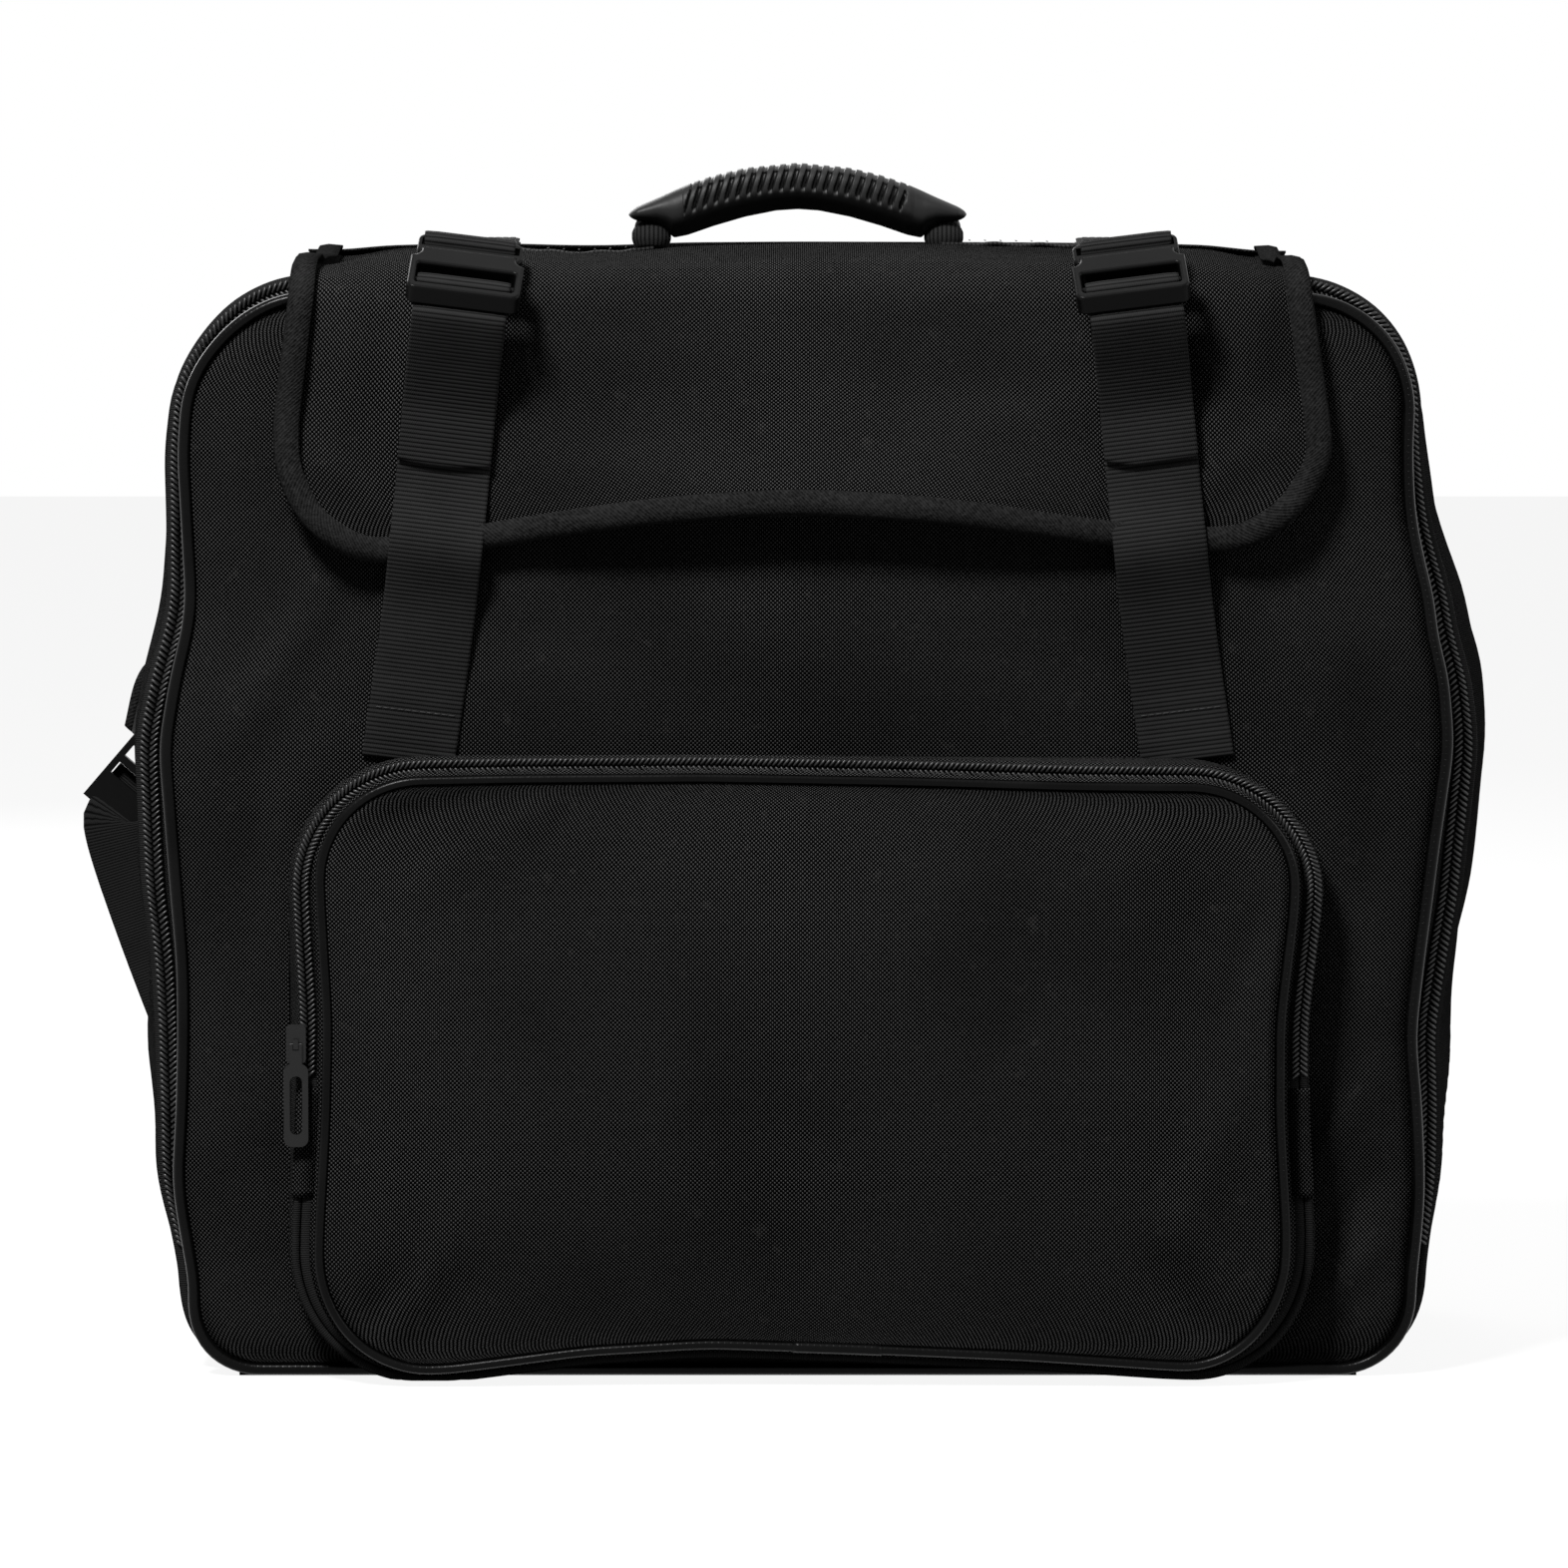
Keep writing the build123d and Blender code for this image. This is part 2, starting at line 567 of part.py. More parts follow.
def make_buckle():
    """Female and male halves in one local frame: +Y towards the flap, +Z outwards."""
    seat = Plane(origin=(0, buckle_y, buckle_z), x_dir=(1, 0, 0),
                 z_dir=(0, -math.sin(tilt), math.cos(tilt)))
    through = 4 * buckle_thickness
    mouth = -mouth_set
    low_end = mouth - female_length
    flat_back = -male_thickness / 2
    scoop_x = buckle_width / 2 + scoop_radius - scoop_depth
    scoop_y = mouth - scoop_set
    bar_y = low_end + female_rim + female_opening / 2
    shell_z = flat_back + buckle_thickness / 2
    shell = Pos(0, (mouth + low_end) / 2, shell_z) * Box(
        buckle_width, female_length, buckle_thickness)
    shell = fillet(shell.edges().filter_by(Axis.Z), buckle_corner)
    opening = Box(strap_width + 4 * running_clearance, female_opening, through)
    opening = fillet(opening.edges().filter_by(Axis.Z), edge_rounding)
    shell = shell - Pos(0, bar_y, 0) * opening
    for side in (-1, 1):
        shell = shell - Pos(side * scoop_x, scoop_y, 0) * Cylinder(scoop_radius, through)
    rims = shell.faces().sort_by(Axis.Z)
    shell = fillet(rims[0].edges() + rims[-1].edges(), edge_rounding)
    bay_start = bar_y + female_opening / 2 + buckle_wall
    bay = Pos(0, (bay_start + mouth) / 2, shell_z) * Box(
        buckle_width - 2 * buckle_wall, mouth - bay_start, buckle_thickness - 2 * buckle_wall)
    bar = Box(buckle_width - 2 * buckle_wall, female_bar, female_bar)
    bar = fillet(bar.edges().filter_by(Axis.X), edge_rounding)
    female = shell - bay + Pos(0, bar_y, bar_out) * bar
    base = mouth + running_clearance
    male = Pos(0, base + male_length / 2, 0) * Box(male_width, male_length, male_thickness)
    male = fillet(male.edges().filter_by(Axis.Z), buckle_corner)
    rims = male.faces().sort_by(Axis.Z)
    male = fillet(rims[0].edges() + rims[-1].edges(), edge_rounding)
    slot_y = base + male_length - male_bar - male_slot / 2
    male = male - Pos(0, slot_y, 0) * Box(
        strap_width + 4 * running_clearance, male_slot, through)
    prong_z = flat_back + buckle_wall + running_clearance + prong_thickness / 2
    prong_x = buckle_width / 2 - buckle_wall - prong_width
    for x in (-prong_x, 0, prong_x):
        male = male + Pos(x, base - prong_length / 2, prong_z) * Box(
            prong_width, prong_length + edge_rounding, prong_thickness)
    tip_x = buckle_width / 2 - scoop_depth + thumb_proud - prong_width / 2
    for side in (-1, 1):
        tip = Box(prong_width, thumb_length, prong_thickness)
        tip = fillet(tip.edges().filter_by(Axis.Z), edge_rounding)
        male = male + Pos(side * tip_x, scoop_y, prong_z) * tip
    return seat * female, seat * male, low_end, bar_y, slot_y


def make_straps():
    """Closing straps with their buckles, sewn feet and the webbing that anchors them."""
    female, male, low_end, bar_y, slot_y = make_buckle()
    turn = female_bar / 2 + webbing / 2 + clearance
    tail_out = -male_thickness / 2 - webbing / 2 - clearance
    under_out = tail_out - webbing - clearance
    bar_top = bar_out + turn
    route = [(strap_foot_y, strap_foot_z + clearance), (strap_run_y, skirt_foot_z - strap_rise),
             (strap_run_y, strap_leave_z), buckle_point(low_end + female_rim, under_out - clearance),
             buckle_point(bar_y - female_bar, under_out),
             buckle_point(bar_y + turn, bar_out - 2 * webbing), buckle_point(bar_y + turn, bar_top),
             buckle_point(bar_y - turn, bar_top), buckle_point(bar_y - turn, -webbing / 2),
             buckle_point(low_end + female_rim + webbing, tail_out),
             buckle_point(low_end + webbing, tail_out),
             buckle_point(low_end - webbing, tail_out - webbing / 2),
             (tail_y, strap_leave_z - webbing), (tail_y, tail_end_z)]
    strap = ribbon(route, webbing, strap_width)
    sewn = block(-strap_width / 2, strap_width / 2, front_y - webbing, front_y,
                 strap_foot_z - strap_sewn_length, strap_foot_z)
    lead_drop = male_thickness / 2 + webbing + anchor_drop
    rise = buckle_point(slot_y, 0)[1] - strap_foot_z
    lean = math.radians(strap_lean)
    lean_drop = rise * (1 - math.cos(lean))
    riser = [(y, z - lean_drop) for y, z in (buckle_point(slot_y, male_thickness / 4),
                                             buckle_point(slot_y, -lead_drop))]
    lead = riser + [
            (skirt_back_y + flap_knee - webbing, flap_top_z + webbing / 2 + clearance),
            (skirt_back_y + 2 * flap_knee, flap_top_z + webbing / 2)]
    anchor = ribbon(lead, webbing, strap_width)
    buckle_x = strap_foot_x - rise * math.tan(lean)
    for side, name in ((-1, "left"), (1, "right")):
        place = strap_place(side)
        save(f"strap_webbing_{name}", place * strap)
        save(f"buckle_male_{name}", place * male)
        save(f"buckle_female_{name}", place * female)
    save("strap_feet", Compound([strap_place(side) * sewn for side in (-1, 1)]))
    save("buckle_webbing", Compound([Pos(side * buckle_x, 0, 0) * anchor for side in (-1, 1)]))


# ------------------------------------------------------------------ back straps
strap_back_y = back_y + patch_thickness + clearance
shoulder_top_z = case_height - shoulder_drop
left_spread = case_width / 2 + left_overhang
right_spread = case_width / 2 - right_underhang
foot_patch_x = case_width / 2 - foot_patch_set


def make_back_straps():
    """Padded shoulder straps, their ladder locks, lower webbing and sewn patches."""
    pad_y0 = strap_back_y
    pad_y1 = strap_back_y + shoulder_thickness
    anchor = block(-shoulder_top_x - shoulder_width / 2, shoulder_top_x + shoulder_width / 2,
                   back_y, back_y + patch_thickness, shoulder_top_z - shoulder_patch_height,
                   shoulder_top_z)
    patches = [anchor]
    for side, name, spread in ((-1, "left", left_spread), (1, "right", right_spread)):
        knee_x = (shoulder_top_x + spread) / 2
        knee_z = (shoulder_top_z + shoulder_end_z) / 2 + shoulder_bow
        line = ThreePointArc((side * shoulder_top_x, shoulder_top_z + shoulder_width),
                             (side * knee_x, knee_z), (side * spread, shoulder_end_z))
        pad = along_y(Plane.XZ * trace(line, shoulder_width), pad_y0, pad_y1)
        pad = below(pad, shoulder_top_z)
        save(f"shoulder_strap_{name}", pad)
        run = line % 1
        ends = Vector(run.X, 0, run.Y)
        lock_seat = Plane(origin=(side * spread, pad_y0 + shoulder_thickness / 2, shoulder_end_z),
                          x_dir=(0, 1, 0), z_dir=(ends.X, 0, ends.Z))
        lock = Pos(0, 0, clearance + lock_length / 2) * Box(
            lock_thickness, lock_width, lock_length)
        hole = Box(2 * lock_thickness, lower_webbing_width + 2 * running_clearance, lock_slot)
        first = Pos(0, 0, clearance + lock_frame + lock_slot / 2) * hole
        second = Pos(0, 0, clearance + 2 * lock_frame + 3 * lock_slot / 2) * hole
        save(f"ladder_lock_{name}", lock_seat * (lock - first - second))
        tail_start = Vector(side * spread, 0, shoulder_end_z) + ends * (lock_length + 2 * clearance)
        foot = (side * foot_patch_x, foot_patch_z)
        route = Polyline((tail_start.X, tail_start.Z), foot)
        web = along_y(Plane.XZ * trace(route, lower_webbing_width), pad_y0, pad_y0 + webbing)
        save(f"lower_webbing_{name}", web)
        patch = Pos(side * foot_patch_x, foot_patch_z) * Rectangle(foot_patch, foot_patch)
        patches.append(along_y(Plane.XZ * patch, back_y, back_y + patch_thickness))
    save("strap_patches", Compound(patches))


make_shell()
make_inside_strap()
make_main_zip()
make_main_sliders()
make_panel()
make_pocket()
make_flap()
make_handle()
make_straps()
make_back_straps()
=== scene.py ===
import bmesh
import bpy
import numpy as np
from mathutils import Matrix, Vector


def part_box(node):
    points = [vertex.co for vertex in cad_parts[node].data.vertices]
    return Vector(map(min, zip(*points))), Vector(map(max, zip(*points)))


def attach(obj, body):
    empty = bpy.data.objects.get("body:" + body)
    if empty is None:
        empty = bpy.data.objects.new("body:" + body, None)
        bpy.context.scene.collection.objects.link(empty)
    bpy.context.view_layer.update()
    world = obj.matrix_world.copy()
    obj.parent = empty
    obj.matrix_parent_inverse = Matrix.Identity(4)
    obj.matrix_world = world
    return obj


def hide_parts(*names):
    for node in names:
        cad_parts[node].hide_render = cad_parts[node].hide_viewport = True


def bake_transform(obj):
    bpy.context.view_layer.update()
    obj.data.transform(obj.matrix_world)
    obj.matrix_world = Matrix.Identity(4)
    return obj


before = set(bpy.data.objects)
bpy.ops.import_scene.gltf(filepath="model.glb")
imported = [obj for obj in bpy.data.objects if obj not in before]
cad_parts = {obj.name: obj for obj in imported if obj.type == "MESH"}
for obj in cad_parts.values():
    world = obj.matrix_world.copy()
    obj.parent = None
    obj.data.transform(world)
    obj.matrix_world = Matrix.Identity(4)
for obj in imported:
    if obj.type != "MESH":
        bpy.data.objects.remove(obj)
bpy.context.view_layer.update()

mm = 0.001

# ------------------------------------------------------------------ studio
# A long lens looks straight at the front from a little above, and four soft lamps and
# a pale world light the black cloth. The floor and the world are white to the camera.
eye_distance = 3.5
eye_height = 4.2            # degrees above level
pixels, pixels_per_mm = 1572, 2.45
picture_width = pixels / pixels_per_mm * mm
sensor = 36.0
aim = Vector((-5.7 * mm, -120 * mm, 244.5 * mm))

camera_data = bpy.data.cameras.new("long_lens")
camera_data.sensor_width = sensor
camera_data.lens = sensor * eye_distance / picture_width
camera_data.clip_end = 40
camera = bpy.data.objects.new("camera", camera_data)
bpy.context.scene.collection.objects.link(camera)
pitch = np.radians(eye_height)
camera.location = aim + eye_distance * Vector((0, -np.cos(pitch), np.sin(pitch)))
camera.rotation_euler = (np.pi / 2 - pitch, 0, 0)
bpy.context.scene.camera = camera
bpy.context.scene.view_settings.view_transform = "Standard"


def lamp(name, place, target, size, power):
    """Square soft lamp at a place, turned to a target."""
    data = bpy.data.lights.new(name, "AREA")
    data.size = size
    data.energy = power
    lamp_object = bpy.data.objects.new(name, data)
    lamp_object.location = place
    turn = (Vector(target) - Vector(place)).to_track_quat("-Z", "Y")
    lamp_object.rotation_euler = turn.to_euler()
    bpy.context.scene.collection.objects.link(lamp_object)


lamp("key_left", (-0.8, -1.5, 2.2), (0, -0.1, 0.25), 0.5, 90)
lamp("fill_right", (2.4, -0.5, 1.4), (0, 0, 0.25), 1.2, 20)
lamp("behind", (-0.9, 2.3, 1.3), (0, 0, 0.25), 1.4, 26)
lamp("overhead", (0.2, 0.3, 2.5), (0, 0, 0.3), 1.4, 7)


class Wire:
    """A node's output socket. Arithmetic on it adds Math nodes to the same material."""

    def __init__(self, paint, socket):
        self.paint = paint
        self.socket = socket

    def math(self, operation, first, second=0.0):
        return self.paint.node("ShaderNodeMath", {"operation": operation}, first, second)

    def __add__(self, other):
        return self.math("ADD", self, other)

    def __sub__(self, other):
        return self.math("SUBTRACT", self, other)

    def __mul__(self, other):
        return self.math("MULTIPLY", self, other)

    def __truediv__(self, other):
        return self.math("DIVIDE", self, other)

    def __rsub__(self, other):
        return self.math("SUBTRACT", other, self)

    __radd__ = __add__
    __rmul__ = __mul__

    def fraction(self):
        return self.math("FRACT", self)

    def floor(self):
        return self.math("FLOOR", self)

    def sine(self):
        return self.math("SINE", self)

    def absolute(self):
        return self.math("ABSOLUTE", self)

    def between(self, low, high):
        """0 below low, 1 above high and a smooth step between them."""
        return self.paint.node("ShaderNodeMapRange", {"interpolation_type": "SMOOTHSTEP"},
                               self, low, high, 0.0, 1.0)


class Paint:
    """A new material whose Principled shader is reached through named sockets."""

    def __init__(self, name, **constants):
        self.material = bpy.data.materials.new(name)
        self.material.use_nodes = True
        self.tree = self.material.node_tree
        self.shader = self.tree.nodes["Principled BSDF"]
        for key, value in constants.items():
            self.shader.inputs[key.replace("_", " ")].default_value = value

    def plug(self, socket, value):
        if isinstance(value, Wire):
            self.tree.links.new(value.socket, socket)
        else:
            socket.default_value = value

    def node(self, kind, settings=None, *values, out=0, **named):
        """Add a node: its settings first, then its sockets by order or by name."""
        node = self.tree.nodes.new(kind)
        for key, value in (settings or {}).items():
            setattr(node, key, value)
        for index, value in enumerate(values):
            self.plug(node.inputs[index], value)
        for key, value in named.items():
            self.plug(node.inputs[key.replace("_", " ")], value)
        return Wire(self, node.outputs[out])

    def mix(self, factor, first, second):
        """Colour between two colours."""
        node = self.tree.nodes.new("ShaderNodeMix")
        node.data_type = "RGBA"
        for index, value in ((0, factor), (6, first), (7, second)):
            self.plug(node.inputs[index], value)
        return Wire(self, node.outputs[2])

    def noise(self, coordinate, scale, detail=3.0, roughness=0.55):
        return self.node("ShaderNodeTexNoise", None, Vector=coordinate, Scale=scale,
                         Detail=detail, Roughness=roughness)

    def place(self):
        """Object coordinates."""
        return self.node("ShaderNodeTexCoord", None, out=3)

    def grain(self, *kinds):
        """Noises in object coordinates, one for each (scale, detail)."""
        place = self.place()
        return [self.noise(place, *kind) for kind in kinds]

    def thread(self):
        """The piece's own flat coordinates, in metres along its two threads."""
        parts = self.tree.nodes.new("ShaderNodeSeparateXYZ")
        self.plug(parts.inputs[0], self.node("ShaderNodeUVMap", {"uv_map": "flat"}))
        return Wire(self, parts.outputs[0]), Wire(self, parts.outputs[1])

    def finish(self, colour=None, roughness=None, height=None, relief=0.001, strength=1.0):
        """Plug what varies over the surface; height is in units of relief metres."""
        if colour is not None:
            self.plug(self.shader.inputs["Base Color"], colour)
        if roughness is not None:
            self.plug(self.shader.inputs["Roughness"], roughness)
        if height is not None:
            bump = self.tree.nodes.new("ShaderNodeBump")
            bump.inputs["Distance"].default_value = relief
            bump.inputs["Strength"].default_value = strength
            self.plug(bump.inputs["Height"], height)
            self.tree.links.new(bump.outputs[0], self.shader.inputs["Normal"])
        return self.material


def grey(value, warmth=0.0):
    """Neutral colour with a little warmth."""
    return (value * (1 + warmth), value, value * (1 - warmth), 1.0)


def seen_directly(tree):
    """1 where a lens, a mirror or clear glass sees the surface, and 0 for the light on others."""
    path = tree.nodes.new("ShaderNodeLightPath")
    most = path.outputs["Is Camera Ray"]
    for ray in ("Is Glossy Ray", "Is Transmission Ray"):
        larger = tree.nodes.new("ShaderNodeMath")
        larger.operation = "MAXIMUM"
        tree.links.new(most, larger.inputs[0])
        tree.links.new(path.outputs[ray], larger.inputs[1])
        most = larger.outputs[0]
    return most


def shown(tree, light, seen, output):
    """Give the light on others one shader, and the lens, mirrors and clear glass another."""
    mix = tree.nodes.new("ShaderNodeMixShader")
    for index, source in enumerate((seen_directly(tree), light, seen)):
        tree.links.new(source, mix.inputs[index])
    tree.links.new(mix.outputs[0], tree.nodes[output].inputs[0])


floor_tone = 0.18
floor_glow = 0.90
floor_reach = 9.0
world_light = 0.06

floor_paint = Paint("studio_floor")
tree = floor_paint.tree
diffuse = tree.nodes.new("ShaderNodeBsdfDiffuse")
diffuse.inputs["Color"].default_value = grey(floor_tone)
glow = tree.nodes.new("ShaderNodeEmission")
glow.inputs["Strength"].default_value = floor_glow
both = tree.nodes.new("ShaderNodeAddShader")
tree.links.new(diffuse.outputs[0], both.inputs[0])
tree.links.new(glow.outputs[0], both.inputs[1])
shown(tree, diffuse.outputs[0], both.outputs[0], "Material Output")

floor_mesh = bpy.data.meshes.new("studio_floor")
floor_mesh.from_pydata([(x * floor_reach, y * floor_reach, 0)
                        for x, y in ((-1, -1), (1, -1), (1, 1), (-1, 1))], [], [(0, 1, 2, 3)])
floor = bpy.data.objects.new("studio_floor", floor_mesh)
floor_mesh.materials.append(floor_paint.material)
bpy.context.scene.collection.objects.link(floor)

world = bpy.data.worlds.new("studio_world")
bpy.context.scene.world = world
world.use_nodes = True
tree = world.node_tree
pale, white = tree.nodes["Background"], tree.nodes.new("ShaderNodeBackground")
for background, strength in ((pale, world_light), (white, 1.0)):
    background.inputs["Color"].default_value = grey(1.0)
    background.inputs["Strength"].default_value = strength
shown(tree, pale.outputs[0], white.outputs[0], "World Output")


# ------------------------------------------------------------------ shell
# The sides, top and base are coarse basket-weave nylon over 10 mm foam with a plush lining,
# sewn as one band. It bellies out between its stiffer seams and stands a little slumped.
side_heights = np.array([0, 35, 65, 80, 110, 140, 170, 215, 260, 290, 305, 320, 335, 355, 380,
                         400, 415, 430, 450]) * mm
left_swell = np.array([-8, -13, -8, -6, -8, -9, -9, -5.5, -2, -7, -11, -13, -12, -11, -9.5,
                       -11, -12, -14, -13]) * mm
right_swell = np.array([-8, -9, -6, -5.5, -7, -10, -7, -1.5, 5, 2.5, -2, -3, -7, -11, -12,
                        -11, -10, -8, -6.5]) * mm
shell_top_across = np.array([-260, -235, -215, -200, -185, -165, -150, -120, -100, -80, -50, 0,
                             60, 100, 150, 170, 190, 205, 220, 240, 260]) * mm
shell_top_sinks = np.array([3, 4.5, 6.5, 7.5, 7, 5, 4.5, 4, 6, 6, 2.5, 1.5, 2, 2.5, 4, 5, 7.5,
                            9, 9, 8.5, 8]) * mm
flare_heights = np.array([0, 55, 120, 200, 280, 390, 450]) * mm
zip_flare = np.array([0, 0, 5, 9, 6, 0, 0]) * mm
shell_low, shell_high = (np.array(c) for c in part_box("back_cover"))
panel_low, panel_high = (np.array(c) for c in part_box("panel_cover"))
front_y = panel_low[1]
tape_thickness = 0.8 * mm
zip_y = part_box("main_zip_front")[1][1] - tape_thickness
rim_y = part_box("gusset_cover")[0][1]
back_y = shell_high[1]
shell_top_radius = 58 * mm
shell_foot_radius = 38 * mm
panel_inset = shell_high[0] - panel_high[0]
panel_top_radius = shell_top_radius - panel_inset
panel_foot_radius = shell_foot_radius - panel_inset
wall = 12 * mm
belly_left, belly_right = 6 * mm, 12 * mm
belly_z, belly_reach = 0.27, 0.15
back_draw = 5 * mm          # how far the back's seam draws the sides in
right_tuck = 7 * mm         # how much narrower the right shoulder is
front_sink = 1.8 * mm       # how far the front seam sinks at the top
crown_depth, crown_z = 3 * mm, 0.30


def smooth_curve(x, knots, values, blur=14 * mm):
    """Straight runs between knots, rounded by averaging over a short window."""
    offsets = np.linspace(-1, 1, 9) * blur
    weights = 1.05 - np.abs(offsets / blur) ** 2
    runs = [w * np.interp(x + o, knots, values) for o, w in zip(offsets, weights)]
    return sum(runs) / weights.sum()


def step(x, low, high):
    """Smooth step from 0 at low to 1 at high."""
    t = np.clip((x - low) / (high - low), 0, 1)
    return t * t * (3 - 2 * t)


def shell_sag(x):
    """How far the top sinks at each place across, from a smooth curve through a table."""
    return smooth_curve(x, shell_top_across, shell_top_sinks)


def slump(points):
    """Where a point of the square pattern ends up on the standing bag.

    Each side moves out or in by its own swell at that height, most at the edge and nothing
    at the middle. Behind the front seam the zip's flare is added, and behind the zip a belly
    that is widest halfway back. The front bulges out a little between the flap and pocket.
    The unfilled shoulders sink, more and more towards the back.
    """
    points = np.array(points, float)
    x, y, z = points[..., 0], points[..., 1], points[..., 2]
    swell = np.where(x < 0, smooth_curve(z, side_heights, left_swell),
                     smooth_curve(z, side_heights, right_swell))
    behind = np.clip((y - front_y) / (zip_y - front_y), 0, 1)
    flare = smooth_curve(z, flare_heights, zip_flare) * behind
    depth = np.clip((y - zip_y) / (back_y - zip_y), 0, 1)
    belly = np.sin(np.pi * depth) ** 0.8 * np.exp(-((z - belly_z) / belly_reach) ** 2)
    belly = belly * np.where(x < 0, belly_left, belly_right)
    back_pull = step(depth, 0.55, 1.0) * back_draw
    share = step(np.abs(x), 110 * mm, 240 * mm)
    high = step(z, 0.36, 0.44)
    set_back = np.clip((y - front_y) / (60 * mm), 0, 1)
    points[..., 0] = x + np.sign(x) * share * (swell + flare + belly - back_pull
                                               - np.where(x < 0, 0, right_tuck) * high * set_back)
    points[..., 2] = z - high * (front_sink * step(-set_back, -0.25, -0.05)
                                 + shell_sag(x) * (0.2 + 0.8 * step(set_back, 0.3, 1.0)))
    crown = crown_depth * np.exp(-(x / 0.19) ** 2 - ((z - crown_z) / 0.055) ** 2)
    points[..., 1] = y - crown * step(-y, -front_y - 40 * mm, -front_y - 5 * mm)
    return points


def lengths(points):
    """Length walked from the first point to each of them."""
    return np.concatenate([[0], np.cumsum(np.linalg.norm(np.diff(points, axis=0), axis=1))])


def sampled(points, run, at):
    """Points at the lengths asked for, straight between those whose lengths are in run."""
    return np.stack([np.interp(at, run, column) for column in points.T], 1)


def rounded_path(width, bottom, top, top_radius, foot_radius, spacing=4 * mm):
    """Points round a rounded rectangle, evenly spaced, and their outward directions.

    Straight runs and quarter circles, walked from the middle of the foot to the right and
    up, then divided evenly along their length. Returned as (x, 0, z) triples.
    """
    half = width / 2
    turns = np.linspace(0, np.pi / 2, 24)
    corners = [((half - foot_radius, bottom + foot_radius), foot_radius, -np.pi / 2),
               ((half - top_radius, top - top_radius), top_radius, 0),
               ((top_radius - half, top - top_radius), top_radius, np.pi / 2),
               ((foot_radius - half, bottom + foot_radius), foot_radius, np.pi)]
    rough = [np.array([[0.0, bottom]])]
    for centre, radius, start in corners:
        angles = start + turns
        rough.append(np.array(centre) + radius * np.stack([np.cos(angles), np.sin(angles)], 1))
    rough = np.concatenate(rough + [rough[0]])
    run = lengths(rough)
    count = int(round(run[-1] / spacing))
    x, z = sampled(rough, run, np.arange(count) * run[-1] / count).T
    path = np.stack([x, 0 * x, z], 1)
    ahead = np.roll(path, -1, 0) - np.roll(path, 1, 0)
    ahead /= np.linalg.norm(ahead, axis=1)[:, None]
    outward = np.stack([ahead[:, 2], 0 * x, -ahead[:, 0]], 1)
    return path, outward


def new_piece(name, points, faces, materials):
    """Smooth mesh object from points and quads."""
    mesh = bpy.data.meshes.new(name)
    mesh.from_pydata(points.reshape(-1, 3).tolist(), [], faces.tolist())
    for material in materials if isinstance(materials, list) else [materials]:
        mesh.materials.append(material)
    mesh.polygons.foreach_set("use_smooth", np.ones(len(faces), bool))
    piece = bpy.data.objects.new(name, mesh)
    bpy.context.scene.collection.objects.link(piece)
    return piece


def face_outwards(piece):
    """Turn a closed skin's faces outwards."""
    work = bmesh.new()
    work.from_mesh(piece.data)
    bmesh.ops.recalc_face_normals(work, faces=work.faces)
    work.to_mesh(piece.data)
    work.free()
    return piece


def loft(name, points, materials, closed_rows=False, column_slots=None, thread=None):
    """Skin over a grid of points, rows by columns, whose columns are joined to a ring.

    Open ends are closed by quads across them. The UV map named flat holds the length walked
    along the rows and along the columns, or the thread coordinates given.
    """
    rows, columns = points.shape[:2]
    r = np.arange(rows if closed_rows else rows - 1)[:, None]
    c = np.arange(columns)[None, :]
    corners = [(r, c), (r, c + 1), (r + 1, c + 1), (r + 1, c)]
    quads = np.stack([a % rows * columns + b % columns for a, b in corners], -1).reshape(-1, 4)
    if thread is None:
        steps_on = np.diff(np.concatenate([points, points[:1]]), axis=0)
        steps_round = np.diff(np.concatenate([points, points[:, :1]], 1), axis=1)
        u = np.concatenate([[0], np.cumsum(np.linalg.norm(steps_on, axis=2).mean(1))])
        v = np.concatenate([[0], np.cumsum(np.linalg.norm(steps_round, axis=2).mean(0))])
        flat = [np.stack(np.broadcast_arrays(u[a], v[b]), -1) for a, b in corners]
    else:
        flat = [thread[a % rows, b % columns] for a, b in corners]
    flat = np.stack(flat, 2).reshape(-1, 4, 2)
    slots = np.zeros(columns, int) if column_slots is None else column_slots
    slots = np.broadcast_to(slots, (len(r), columns)).ravel()
    if not closed_rows:
        j = np.arange(columns // 2 - 1)
        cap = np.stack([j, j + 1, columns - 2 - j, columns - 1 - j], -1)
        quads = np.concatenate([quads, cap, cap + (rows - 1) * columns])
        height = np.linalg.norm(points[0, cap[:, 0]] - points[0, cap[:, 3]], axis=1)
        u = np.cumsum(np.linalg.norm(points[0, cap[:, 0]] - points[0, cap[:, 1]], axis=1))
        ends = np.stack([np.stack([u, v], -1) for v in (0 * u, 0 * u, height, height)], 1)
        flat = np.concatenate([flat, ends, ends])
        slots = np.concatenate([slots, np.zeros(2 * len(cap), int)])
    piece = new_piece(name, points, quads, materials)
    layer = piece.data.uv_layers.new(name="flat")
    layer.data.foreach_set("uv", flat.astype(np.float32).ravel())
    piece.data.polygons.foreach_set("material_index", slots.astype(np.int32))
    return face_outwards(piece)


def carried(path, outward, section, place=slump):
    """Section of (outset, y) points carried round a path in the XZ plane, then put in place."""
    section = np.asarray(section, float)
    points = path[:, None, :] + outward[:, None, :] * section[None, :, :1]
    points[..., 1] += section[None, :, 1]
    return place(points)


def offsets(depth, *pairs):
    """Section points from pairs of millimetres: outset, and distance behind a depth."""
    return [(out * mm, depth + behind * mm) for out, behind in pairs]


def dress(piece, body, slot, *nodes, fill=None):
    """Join a piece to its body and hide the solids it stands for. The slot is not used."""
    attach(piece, body)
    if nodes:
        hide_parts(*nodes)


